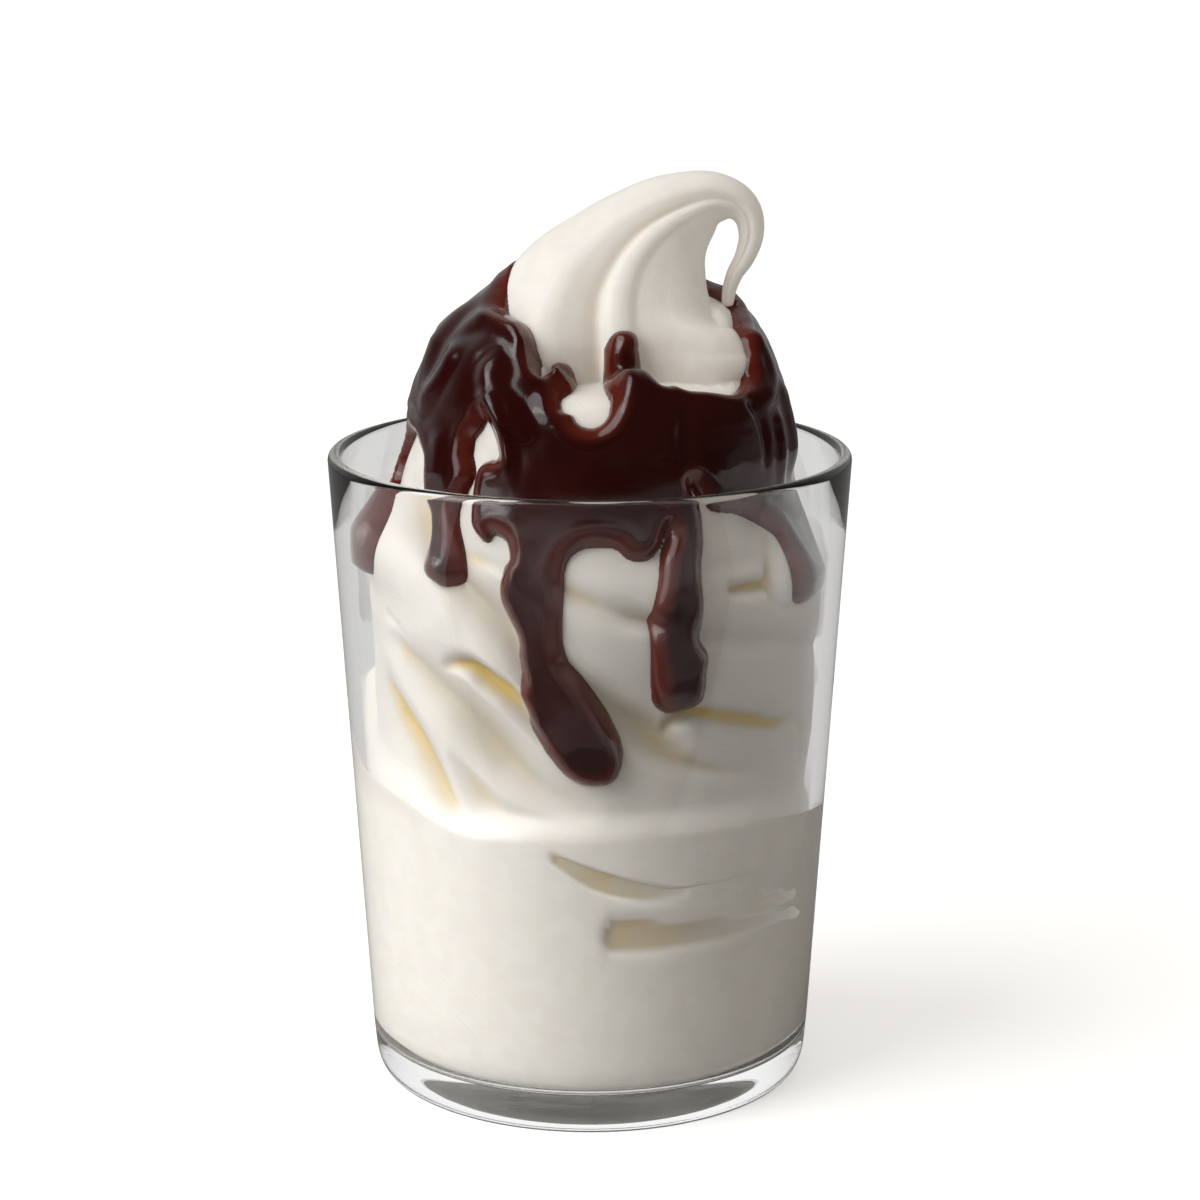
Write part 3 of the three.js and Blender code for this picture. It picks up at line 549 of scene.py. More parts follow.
def close_up(shape):
    """Merges doubles and turns all faces outwards."""
    bmesh.ops.remove_doubles(shape, verts=shape.verts, dist=1e-7)
    bmesh.ops.recalc_face_normals(shape, faces=shape.faces)


# ---------------------------------------------------------------- node helpers
def add_node(tree, kind, links=None, **settings):
    """Adds a node; links maps input names or numbers to values or to sockets that feed them."""
    made = tree.nodes.new(kind)
    for key, value in settings.items():
        setattr(made, key, value)
    for key, value in (links or {}).items():
        if isinstance(value, bpy.types.NodeSocket):
            tree.links.new(value, made.inputs[key])
        else:
            made.inputs[key].default_value = value
    return made


def colour(values):
    return (*values, 1.0)


def grey(value):
    return (value, value, value, 1.0)


def new_material(name):
    material = bpy.data.materials.new(name)
    material.use_nodes = True
    material.node_tree.nodes.clear()
    return material, material.node_tree


def noise_at(tree, vector, size, detail=2.0, roughness=0.5, **links):
    """Noise whose patches are about size metres across."""
    inputs = {"Vector": vector, "Scale": 1.0 / size, "Detail": detail, "Roughness": roughness}
    return add_node(tree, "ShaderNodeTexNoise", {**inputs, **links}).outputs["Fac"]


def mapped(tree, value, low, high, to_low=0.0, to_high=1.0):
    links = {"Value": value, "From Min": low, "From Max": high, "To Min": to_low, "To Max": to_high}
    return add_node(tree, "ShaderNodeMapRange", links, interpolation_type="SMOOTHSTEP").outputs["Result"]


def mixed(tree, share, first, second):
    made = add_node(tree, "ShaderNodeMix", data_type="RGBA")
    for number, value in ((0, share), (6, first), (7, second)):
        if isinstance(value, bpy.types.NodeSocket):
            tree.links.new(value, made.inputs[number])
        else:
            made.inputs[number].default_value = value
    return made.outputs[2]


def math_node(tree, operation, first, second):
    return add_node(tree, "ShaderNodeMath", {0: first, 1: second}, operation=operation).outputs[0]


def grain_group():
    """Shared node group: fine uneven grain as a height and a mask, for anything cold and wet or whipped."""
    name = "fine_grain"
    if name in bpy.data.node_groups:
        return bpy.data.node_groups[name]
    tree = bpy.data.node_groups.new(name, "ShaderNodeTree")
    tree.interface.new_socket("Vector", in_out="INPUT", socket_type="NodeSocketVector")
    size = tree.interface.new_socket("Size", in_out="INPUT", socket_type="NodeSocketFloat")
    size.default_value = 0.6 * MM
    tree.interface.new_socket("Height", in_out="OUTPUT", socket_type="NodeSocketFloat")
    tree.interface.new_socket("Mask", in_out="OUTPUT", socket_type="NodeSocketFloat")
    given = tree.nodes.new("NodeGroupInput")
    result = tree.nodes.new("NodeGroupOutput")
    scale = math_node(tree, "DIVIDE", 1.0, given.outputs["Size"])
    fine = noise_at(tree, given.outputs["Vector"], 1.0, 3.0, 0.6, Scale=scale)
    coarse = math_node(tree, "MULTIPLY", scale, 0.14)
    broad = noise_at(tree, given.outputs["Vector"], 1.0, 2.0, 0.5, Scale=coarse)
    height = math_node(tree, "ADD", fine, math_node(tree, "MULTIPLY", broad, 0.8))
    tree.links.new(height, result.inputs["Height"])
    tree.links.new(mapped(tree, broad, 0.35, 0.65), result.inputs["Mask"])
    return tree


def grain(tree, vector, size):
    made = add_node(tree, "ShaderNodeGroup", node_tree=grain_group())
    tree.links.new(vector, made.inputs["Vector"])
    made.inputs["Size"].default_value = size
    return made.outputs["Height"], made.outputs["Mask"]


def bumped(tree, height, strength, distance, normal=None):
    links = {"Height": height, "Strength": strength, "Distance": distance}
    if normal is not None:
        links["Normal"] = normal
    return add_node(tree, "ShaderNodeBump", links).outputs["Normal"]


def surface_output(tree, shader):
    output = tree.nodes.new("ShaderNodeOutputMaterial")
    tree.links.new(shader, output.inputs["Surface"])


# ---------------------------------------------------------------- materials
def glass_material():
    """Clear glass with the faint waves of a moulded wall."""
    material, tree = new_material("clear_glass")
    place = add_node(tree, "ShaderNodeTexCoord").outputs["Object"]
    waves = noise_at(tree, place, 14 * MM, 1.0)
    tint = mixed(tree, mapped(tree, waves, 0.3, 0.7), (0.985, 0.99, 0.99, 1), (0.995, 0.997, 0.995, 1))
    glass = add_node(tree, "ShaderNodeBsdfPrincipled", {
        "Base Color": tint,
        "Roughness": 0.0,
        "IOR": 1.5,
        "Transmission Weight": 1.0,
        "Normal": bumped(tree, waves, 0.12, 0.12 * MM),
    })
    open_to_lamps = add_node(tree, "ShaderNodeBsdfTransparent", {"Color": (0.97, 0.975, 0.975, 1)})
    path = add_node(tree, "ShaderNodeLightPath")
    both = add_node(tree, "ShaderNodeMixShader", {
        0: path.outputs["Is Shadow Ray"], 1: glass.outputs[0], 2: open_to_lamps.outputs[0],
    })
    surface_output(tree, both.outputs[0])
    return material


def ice_cream_material():
    """Dense milk ice: soft light inside, airy grain, drag marks along the ridges, painted yellow shade in the
    creases, and painted darker shade in the hollows and over the band that stands off the glass.
    """
    settings = bpy.context.scene.ice_cream
    material, tree = new_material("soft_serve_cream")
    place = add_node(tree, "ShaderNodeTexCoord").outputs["Object"]
    flow = add_node(tree, "ShaderNodeAttribute", attribute_name="flow").outputs["Vector"]
    crease_shade = add_node(tree, "ShaderNodeAttribute", attribute_name="crease_shade").outputs["Fac"]
    height, mask = grain(tree, place, 0.55 * MM)
    drag = noise_at(tree, flow, 0.9 * MM, 3.0, 0.55)
    # painted yellow shade down in the creases, patched a little by the grain
    deep = mapped(tree, math_node(tree, "ADD", crease_shade, math_node(tree, "MULTIPLY", mask, 0.12)), 0.25, 1.1)
    body = mixed(tree, mask, colour(settings.cream), colour([min(1.0, c * 1.035) for c in settings.cream]))
    # painted shade in the hollows and low down between the ridges
    hollow_shade = add_node(tree, "ShaderNodeAttribute", attribute_name="hollow_shade").outputs["Fac"]
    # painted shade: the cream is darker over the band where the swirl stands off the glass, under the coat
    up = add_node(tree, "ShaderNodeSeparateXYZ", {0: place}).outputs["Z"]
    over_packed = mapped(tree, up, LOOSE_ZONE[0], LOOSE_ZONE[1])
    under_coat = mapped(tree, up, LOOSE_ZONE[2], LOOSE_ZONE[3], 1.0, 0.0)
    loose = math_node(tree, "MULTIPLY", over_packed, under_coat)
    body = mixed(tree, loose, body, colour([c * LOOSE_PAINTED_SHADE for c in settings.cream]))
    shaded = mixed(tree, mapped(tree, hollow_shade, 0.05, 0.95, 0.0, 0.9), body, colour(settings.hollow_shade))
    paint = mixed(tree, deep, shaded, colour(settings.crease_shade))
    fine = bumped(tree, height, 0.22, 0.10 * MM)
    dragged = bumped(tree, drag, 0.35, 0.22 * MM, fine)
    rough = mapped(tree, mask, 0.0, 1.0, 0.36, 0.50)
    cream = add_node(tree, "ShaderNodeBsdfPrincipled", {
        "Base Color": paint,
        "Roughness": rough,
        "IOR": 1.36,
        "Subsurface Weight": 0.5,
        "Subsurface Radius": (1.0, 0.82, 0.55),
        "Subsurface Scale": 0.9 * MM,
        "Normal": dragged,
    })
    surface_output(tree, cream.outputs[0])
    return material


def fudge_material():
    """Thick hot fudge: nearly black red-brown under a wet gloss, warmer where it runs thin."""
    settings = bpy.context.scene.fudge
    material, tree = new_material("hot_fudge_sauce")
    place = add_node(tree, "ShaderNodeTexCoord").outputs["Object"]
    rim = add_node(tree, "ShaderNodeAttribute", attribute_name="thin").outputs["Fac"]
    height, mask = grain(tree, place, 2.4 * MM)
    share = math_node(tree, "ADD", rim, math_node(tree, "MULTIPLY", mask, 0.22))
    paint = mixed(tree, mapped(tree, share, 0.05, 1.0), colour(settings.dark), colour(settings.thin))
    rough = mapped(tree, mask, 0.0, 1.0, 0.13, 0.20)
    fudge = add_node(tree, "ShaderNodeBsdfPrincipled", {
        "Base Color": paint,
        "Roughness": rough,
        "IOR": 1.44,
        "Coat Weight": 0.2,
        "Coat Roughness": 0.06,
        "Coat IOR": 1.45,
        "Normal": bumped(tree, height, 0.25, 0.16 * MM),
    })
    surface_output(tree, fudge.outputs[0])
    return material


def floor_material():
    """Plain white floor, kept white to the eye beyond the shadow, and dimmer where the fudge mirrors it."""
    settings = bpy.context.scene.stage
    material, tree = new_material("plain_floor")
    place = add_node(tree, "ShaderNodeTexCoord").outputs["Object"]
    cloud = mapped(tree, noise_at(tree, place, 0.4), 0.3, 0.7)
    path = add_node(tree, "ShaderNodeLightPath")
    unlit = math_node(tree, "LESS_THAN", path.outputs["Diffuse Depth"], 0.5)
    looked_at = math_node(tree, "MAXIMUM", path.outputs["Is Camera Ray"], path.outputs["Is Transmission Ray"])
    seen = math_node(tree, "MULTIPLY", looked_at, unlit)
    dull = mixed(tree, cloud, colour(settings.floor), colour([c * 0.985 for c in settings.floor]))
    bright = mixed(tree, cloud, *map(grey, FLOOR_SEEN))
    mirrored = math_node(tree, "MULTIPLY", path.outputs["Is Glossy Ray"], unlit)
    paint = mixed(tree, mirrored, mixed(tree, seen, dull, bright), grey(FLOOR_MIRRORED))
    matt = add_node(tree, "ShaderNodeBsdfPrincipled", {"Base Color": paint, "Roughness": 0.5, "IOR": 1.3})
    glow = add_node(tree, "ShaderNodeEmission", {"Color": grey(1), "Strength": FLOOR_GLOW})
    dark = add_node(tree, "ShaderNodeEmission", {"Strength": 0.0})
    shown = add_node(tree, "ShaderNodeMixShader", {0: seen, 1: dark.outputs[0], 2: glow.outputs[0]})
    both = add_node(tree, "ShaderNodeAddShader", {0: matt.outputs[0], 1: shown.outputs[0]})
    surface_output(tree, both.outputs[0])
    return material


def card_material():
    """Card in front, seen only in reflections and through glass: dark in the fudge, lighter in the glass."""
    material, tree = new_material("grey_card")
    place = add_node(tree, "ShaderNodeTexCoord").outputs["Object"]
    away = add_node(tree, "ShaderNodeSeparateXYZ", {0: place}).outputs["Y"]
    paint = mixed(tree, mapped(tree, away, *CARD_FADE), *CARD_IN_FUDGE)
    in_glass = mixed(tree, mapped(tree, away, *CARD_GLASS_FADE), *CARD_IN_GLASS)
    shown = mixed(tree, add_node(tree, "ShaderNodeLightPath").outputs["Is Transmission Ray"], paint, in_glass)
    glow = add_node(tree, "ShaderNodeEmission", {"Color": shown, "Strength": 1.0})
    surface_output(tree, glow.outputs[0])
    return material


# ---------------------------------------------------------------- tumbler
def arc(start, corner, end, steps):
    """Points of a quadratic curve, without its first."""
    t = np.linspace(0, 1, steps + 1)[1:, None]
    start, corner, end = (np.array(p, float) for p in (start, corner, end))
    return [tuple(p) for p in (1 - t) ** 2 * start + 2 * t * (1 - t) * corner + t**2 * end]


def tumbler_outline():
    """The glass in section as (radius, height): underside, heel, wall, rim, inside wall and inside floor."""
    base = bpy.context.scene.tumbler.base / MM
    shoulder = GLASS_HEIGHT - RIM_ROUND
    points = [(0, 0), (FOOT_RADIUS * 0.5, 0), (FOOT_RADIUS, 0)]
    flat, upright = HEEL_CURVE
    t = np.linspace(0, 1, 19)[1:, None]
    a, b, c, d = (np.array(p, float) for p in (
        (FOOT_RADIUS, 0), (FOOT_RADIUS + flat, 0), (glass_outer(0), upright), (HEEL_RADIUS, HEEL_HEIGHT),
    ))
    heel = (1 - t) ** 3 * a + 3 * t * (1 - t) ** 2 * b + 3 * t**2 * (1 - t) * c + t**3 * d
    points += [tuple(p) for p in heel]
    points += [(glass_outer(z), z) for z in np.linspace(HEEL_HEIGHT, shoulder, 9)[1:]]
    middle = (glass_outer(shoulder) + glass_inner(shoulder)) / 2
    half = (glass_outer(shoulder) - glass_inner(shoulder)) / 2
    for turn in np.linspace(0, math.pi, 13)[1:]:
        points.append((middle + half * math.cos(turn), shoulder + RIM_ROUND * math.sin(turn)))
    corner = base + FLOOR_CORNER
    points += [(glass_inner(z), z) for z in np.linspace(shoulder, corner, 9)[1:]]
    floor_edge = (glass_inner(0) - FLOOR_CORNER, base)
    points += arc(points[-1], (glass_inner(base), base), floor_edge, 8)
    return points + [(floor_edge[0] * 0.5, base), (0, base)]


class SUNDAE_OT_tumbler(bpy.types.Operator):
    """Spin the clear tumbler from its section"""

    bl_idname = "sundae.tumbler"
    bl_label = "Tumbler"

    def execute(self, context):
        shape = bmesh.new()
        section = [shape.verts.new((r * MM, 0, z * MM)) for r, z in tumbler_outline()]
        edges = [shape.edges.new(pair) for pair in zip(section, section[1:])]
        bmesh.ops.spin(
            shape, geom=section + edges, cent=(0, 0, 0), axis=(0, 0, 1), dvec=(0, 0, 0),
            angle=math.tau, steps=context.scene.tumbler.segments, use_merge=True, use_duplicate=False,
        )
        close_up(shape)
        mesh = bpy.data.meshes.new("tumbler")
        shape.to_mesh(mesh)
        shape.free()
        finish_piece(new_piece("tumbler", mesh, glass_material()), "glass")
        return {"FINISHED"}


# ---------------------------------------------------------------- ice cream
def ridge_phase(angle, level):
    """Counts the ridges up the side; a groove lies at each whole number."""
    return (level + along(RIDGE_FALL, angle) - RIDGE_BASE_LEVEL) / RIDGE_PITCH


def slant(angle, level):
    low, low_full, high_full, high = SLANT_LEVELS
    share = smoothstep(level, low, low_full) * (1 - smoothstep(level, high_full, high))
    even = RIDGES_PER_TURN * RIDGE_PITCH * (angle + 180) / 360 + RIDGE_FALL[0][1]
    return (along(RIDGE_FALL, angle) - even) * share


def segment_distance(angle, level, radius, a0, l0, a1, l1):
    """Distance in millimetres over the surface to a segment, and the share of the way along it."""
    per_degree = radius * math.pi / 180
    middle = (a0 + a1) / 2
    x = wrap(angle - middle) * per_degree
    x0, x1 = (a0 - middle) * per_degree, (a1 - middle) * per_degree
    dx, dy = x1 - x0, l1 - l0
    share = np.clip(((x - x0) * dx + (level - l0) * dy) / (dx * dx + dy * dy + 1e-9), 0, 1)
    return np.hypot(x - x0 - share * dx, level - l0 - share * dy), share


def noise_values(points, size, seed):
    """Smooth noise from -1 to 1 at points in millimetres."""
    shift = Vector((seed * 17.3, seed * 5.1, seed * 9.7))
    return np.array([noise.noise(Vector(p) / size + shift) for p in points])


def path_fields(angle, level, radius, rows):
    """Distance from a path over the surface, and the values of its rows at the nearest place."""
    rows = smooth_path(rows, 3)
    best = np.full(angle.shape, 1e9)
    values = np.zeros((*angle.shape, rows.shape[1] - 2))
    for first, second in zip(rows, rows[1:]):
        away, share = segment_distance(angle, level, radius, first[0], first[1], second[0], second[1])
        nearer = away < best
        best = np.where(nearer, away, best)
        here = first[2:] + (second[2:] - first[2:]) * share[:, None]
        values = np.where(nearer[:, None], here, values)
    return best, values


def front_relief(angle, level, radius):
    """Depth and painted yellow shade of the creases of the front, and height of its tongue."""
    depth = np.zeros_like(level)
    tint = np.zeros_like(level)
    for rows in CREASES:
        away, values = path_fields(angle, level, radius, rows)
        width, deep, yellow = np.moveaxis(values, -1, 0)
        near = np.exp(-((away / width) ** 1.6))
        depth = np.maximum(depth, deep * near)
        tint = np.maximum(tint, yellow * np.exp(-((away / (0.8 * width)) ** 2)))
    away, values = path_fields(angle, level, radius, TONGUE)
    raised = values[:, 1] * smoothstep(1 - away / (values[:, 0] * 1.5), 0, 1)
    return depth, tint, raised


def swirl_relief(angle, level):
    """The swirl's height over its smooth outline, its painted yellow crease shade, its depth and its share
    pressed flat.
    """
    settings = bpy.context.scene.ice_cream
    smooth = surface_point(angle, level, 0.0, SWIRL)
    radius = np.hypot(smooth[:, 0], smooth[:, 1])
    wobble = RIDGE_WOBBLE[0] * noise_values(smooth * (1, 1, 1.6), RIDGE_WOBBLE[1], 1)
    lobe = np.abs(np.sin(math.pi * (ridge_phase(angle, level) + wobble))) ** settings.ridge_roundness
    at_side = smoothstep(np.abs(angle), *FRONT_WINDOW)
    depth = settings.ridge_depth / MM * (1 - lobe) * at_side
    front, tint, raised = front_relief(angle, level, radius)
    depth = np.maximum(depth, front) * along(RIDGE_FADE, level)
    depth = depth * (1 + DEPTH_UNEVEN[0] * noise_values(smooth, DEPTH_UNEVEN[1], 2))
    swell = sum(size * noise_values(smooth, patch, seed) for size, patch, seed in SWELLS)
    pressed_to = along(PRESSED_LEVEL, angle)
    pressed = 1 - smoothstep(level, pressed_to - PRESSED_BLEND, pressed_to + PRESSED_BLEND)
    tint = np.maximum(tint, SIDE_CREASE_SHADE * np.clip(depth * at_side / RIDGE_DEPTH, 0, 1) ** 2)
    free = 1 - pressed
    return (swell - SUNK - depth + raised) * free, tint * free, depth * free, pressed


def floor_points(angle, t):
    """Places just inside the glass of its floor and rounded corner, for outline places up to CORNER_POINT."""
    base = bpy.context.scene.tumbler.base / MM
    corner = base + FLOOR_CORNER
    f = np.clip(t - 1, 0, 1)
    middle, wall = glass_inner(base), glass_inner(corner)
    edge = glass_inner(0) - FLOOR_CORNER
    radius = np.where(t < 1, t * edge, (1 - f) ** 2 * edge + 2 * f * (1 - f) * middle + f**2 * wall)
    radius += WALL_BITE * np.sin(f * math.pi / 2)
    height = base + f**2 * FLOOR_CORNER - WALL_BITE * np.cos(f * math.pi / 2)
    turn = np.radians(angle)
    return np.stack([radius * np.sin(turn), -radius * np.cos(turn), height], -1)


def swirl_points(angle, share):
    """Places of the swirl's vertices, their painted yellow crease shade, their depth (which also sets the
    painted hollow shade), and where each lies along the flow.
    """
    row_level = along(SWIRL_ROWS, share)
    level = row_level - slant(angle, row_level)
    relief, tint, depth, pressed = swirl_relief(angle, level)
    places = surface_point(angle, level, relief, SWIRL)
    radius = np.hypot(places[:, 0], places[:, 1])
    cut = np.zeros_like(level)
    for rows in HOLLOWS:
        away, values = path_fields(angle, level, radius, rows)
        inside = smoothstep(values[:, 0] - away, *HOLLOW_EDGE)
        cut = np.maximum(cut, values[:, 1] * inside)
        tint = np.maximum(tint, values[:, 2] * inside)
    wall = glass_inner(places[:, 2]) + WALL_BITE
    on_wall = np.where(outline_place(level) > CORNER_POINT, wall, radius)
    reach = np.minimum(radius + (on_wall - radius) * pressed, wall) - cut
    places = scaled_to(places, np.maximum(reach, 0))
    low = outline_place(level) < CORNER_POINT
    places[low] = floor_points(angle, outline_place(level))[low]
    places[share < 1e-6] = floor_points(angle, np.zeros_like(level))[share < 1e-6]
    places[share > 1 - 1e-6] = CROWN_CENTRE
    run = 0.16 * radius
    turn = np.radians(angle)
    flow = np.stack([run * np.sin(turn), run * np.cos(turn), level + along(RIDGE_FALL, angle)], -1)
    return places, tint, np.maximum(depth / RIDGE_DEPTH, cut), flow


def peak_points(angle, share):
    """Places on the peak: a tapering tube of folds along its line, closed at both ends."""
    stops = len(PEAK_LINE) - 1
    along_line = np.clip((share * PEAK_RINGS - 1) / (PEAK_RINGS - 2), 0, 1) * stops
    x, z, radius = np.moveaxis(curve_at(PEAK_LINE, along_line), -1, 0)
    step = 0.02
    ahead = curve_at(PEAK_LINE, along_line + step) - curve_at(PEAK_LINE, along_line - step)
    length = np.hypot(ahead[:, 0], ahead[:, 1])
    tx, tz = ahead[:, 0] / length, ahead[:, 1] / length
    own = wrap(angle - along(PEAK_FOLD_SHIFT, along_line))
    fold = along(PEAK_FOLDS, own)
    fuller = sum(
        amount * np.exp(-(((own - at) / width) ** 2)) * np.exp(-(((along_line - stop) / reach) ** 2))
        for at, width, stop, reach, amount in PEAK_FULLER
    )
    uneven = PEAK_UNEVEN[0] * noise_values(np.stack([x, z, 0.12 * own], -1), PEAK_UNEVEN[1], 8)
    reach = radius * (1 - fold) + fuller + radius * uneven
    turn = np.radians(angle)
    side = reach * np.sin(turn)
    places = np.stack([x + side * tz, -reach * np.cos(turn), z - side * tx], -1)
    ends = (share < 1e-6) | (share > 1 - 1e-6)
    past = np.where(share > 0.5, TIP_LENGTH * PEAK_LINE[-1][2], 0.0)
    tip = np.stack([x + tx * past, np.zeros_like(x), z + tz * past], -1)
    places[ends] = tip[ends]
    flow = np.stack([0.1 * x, 9.0 * np.sin(np.radians(own)), 9.0 * np.cos(np.radians(own))], -1)
    # painted shade on the peak: yellow in its creases, darker in its folds
    folded = np.clip(fold / PEAK_DEEPEST, 0, 1) ** 2 * smoothstep(radius, 3, 8)
    return places, 0.3 * folded, 0.5 * folded, flow


class SUNDAE_OT_ice_cream(bpy.types.Operator):
    """Shape the soft serve: a ridged swirl pressed into the tumbler, joined to its hooked peak"""

    bl_idname = "sundae.ice_cream"
    bl_label = "Ice cream"

    def execute(self, context):
        pieces = []
        for name, segments, rings, place in (
            ("ice_cream", SWIRL_SEGMENTS, SWIRL_RINGS, swirl_points),
            ("peak", PEAK_SEGMENTS, PEAK_RINGS, peak_points),
        ):
            mesh, angle, share = sphere_mesh(name, segments, rings)
            places, crease_shade, hollow_shade, flow = place(angle, share)
            write_places(mesh, places * MM)
            write_attribute(mesh, "crease_shade", crease_shade)
            write_attribute(mesh, "hollow_shade", hollow_shade)
            write_attribute(mesh, "flow", flow * MM)
            pieces.append(new_piece(name, mesh))
        swirl, peak = pieces
        join = swirl.modifiers.new("join", "BOOLEAN")
        join.operation = "UNION"
        join.object = peak
        join.solver = "MANIFOLD"
        context.view_layer.update()
        joined = bpy.data.meshes.new_from_object(swirl.evaluated_get(context.evaluated_depsgraph_get()))
        swirl.modifiers.clear()
        swirl.data = joined
        bpy.data.objects.remove(peak)
        if len(joined.vertices) < 1000:
            raise RuntimeError("the swirl and its peak did not join")
        joined.materials.clear()
        joined.materials.append(ice_cream_material())
        finish_piece(swirl, "soft_serve")
        return {"FINISHED"}


# ---------------------------------------------------------------- fudge
def blend_max(a, b, blend):
    """The larger of two fields, with a fillet where they meet."""
    near = np.maximum(blend - np.abs(a - b), 0) / blend
    return np.maximum(a, b) + near * near * blend / 4


def edge_distance(angle, level, radius, edge, above):
    """How far each point lies inside an edge of the coat, in millimetres."""
    line = smooth_path(edge, 2)
    away = np.full(angle.shape, 1e9)
    crossings = np.zeros(angle.shape, int)
    for (a0, l0), (a1, l1) in zip(line, line[1:]):
        away = np.minimum(away, segment_distance(angle, level, radius, a0, l0, a1, l1)[0])
        spans = (angle >= min(a0, a1)) & (angle < max(a0, a1))
        height = l0 + (l1 - l0) * (angle - a0) / (a1 - a0 + 1e-9)
        crossings += spans & ((height > level) if above else (height < level))
    return np.where(crossings % 2 == 0, away, -away)


def stroke_distance(angle, level, radius, path):
    """How far each point lies inside a stroke along a path of (angle, level, half width)."""
    best = np.full(angle.shape, -1e9)
    rows = smooth_path(path, 4)
    for (a0, l0, w0), (a1, l1, w1) in zip(rows, rows[1:]):
        away, share = segment_distance(angle, level, radius, a0, l0, a1, l1)
        best = np.maximum(best, w0 + (w1 - w0) * share - away)
    return best


def fudge_fields(angle, level):
    """Distance inside the fudge's edge, and its height above the smooth outline, in millimetres."""
    settings = bpy.context.scene.fudge
    thickness = settings.thickness / MM
    radius = np.maximum(curve_at(COAT_SIDE, outline_place(level))[:, 0], 8.0)
    low = edge_distance(angle, level, radius, COAT_LOWER_EDGE, True)
    high = edge_distance(angle, level, radius, COAT_UPPER_EDGE, False)
    inside = -blend_max(-low, -high, 1.0)
    for path in DRIPS:
        inside = blend_max(inside, stroke_distance(angle, level, radius, path), 2.0)
    inside = inside + EDGE_GROWTH
    bulge = np.zeros_like(level)
    for at_angle, at_level, width, height in BULBS:
        away, _ = segment_distance(angle, level, radius, at_angle, at_level, at_angle, at_level + 0.01)
        bulge = np.maximum(bulge, height * np.exp(-((away / width) ** 2)))
    for path, width, height in STRANDS:
        rows = [(*row, k / (len(path) - 1)) for k, row in enumerate(path)]
        away, values = path_fields(angle, level, radius, rows)
        from_end = np.minimum(values[:, 0], 1 - values[:, 0])
        rise = np.cos(np.clip(away / (1.5 * width), 0, 1) * math.pi / 2) ** 2
        bulge += height * rise * smoothstep(from_end, 0, 0.3)
    profile = np.sqrt(1 - (1 - np.clip(inside / (settings.edge / MM), 0, 1)) ** 2)
    bead_height, bead_at, bead_width = COAT_BEAD
    bead = bead_height * np.exp(-(((inside - bead_at) / bead_width) ** 2))
    places = surface_point(angle, level, 0.0, COAT)
    ripple = sum(size * noise_values(places, patch, seed) for size, patch, seed in COAT_RIPPLES)
    height = (thickness + bulge + bead + ripple) * profile
    return inside, np.where(inside > 0, height, COAT_SINK * inside)


def blurred(values, reach):
    """Mean of a grid of (level, angle) over a few cells each way, closed round the angles."""
    ring = values[:, :-1]
    for _ in range(2):
        ring = sum(np.roll(ring, k, 1) for k in range(-reach, reach + 1)) / (2 * reach + 1)
        padded = np.pad(ring, ((reach, reach), (0, 0)), "edge")
        ring = sum(padded[k:k + len(ring)] for k in range(2 * reach + 1)) / (2 * reach + 1)
    return np.concatenate([ring, ring[:, :1]], 1)


def lying_height(angle, level, inside, cells):
    """Height over the outline at which the ice cream lies, followed closely only at the fudge's edges."""
    ice_cream = bpy.data.objects["ice_cream"]
    tree = BVHTree.FromObject(ice_cream, bpy.context.evaluated_depsgraph_get())
    by_tail = smoothstep(1 - np.abs(angle - 90) / TAIL_WIDTH, 0, 0.5) * smoothstep(level, *TAIL_LEVELS)
    above = LYING_RANGE - TAIL_CLEARANCE * by_tail
    low = surface_point(angle, level, -LYING_RANGE, COAT)
    high = surface_point(angle, level, above, COAT)
    found = np.empty(len(angle))
    for k, (start, end) in enumerate(zip(high * MM, low * MM)):
        away = Vector(end - start)
        hit = tree.ray_cast(Vector(start), away.normalized(), away.length)
        found[k] = -LYING_RANGE if hit[0] is None else above[k] - hit[3] / MM
    grid = np.zeros(cells.max(axis=0) + 1)
    grid[cells[:, 0], cells[:, 1]] = np.clip(found, -LYING_RANGE, LYING_RANGE)
    even = blurred(grid, LYING_BLUR)[cells[:, 0], cells[:, 1]]
    closely = 1 - smoothstep(inside, *FOLLOWED)
    return even + (found - even) * closely


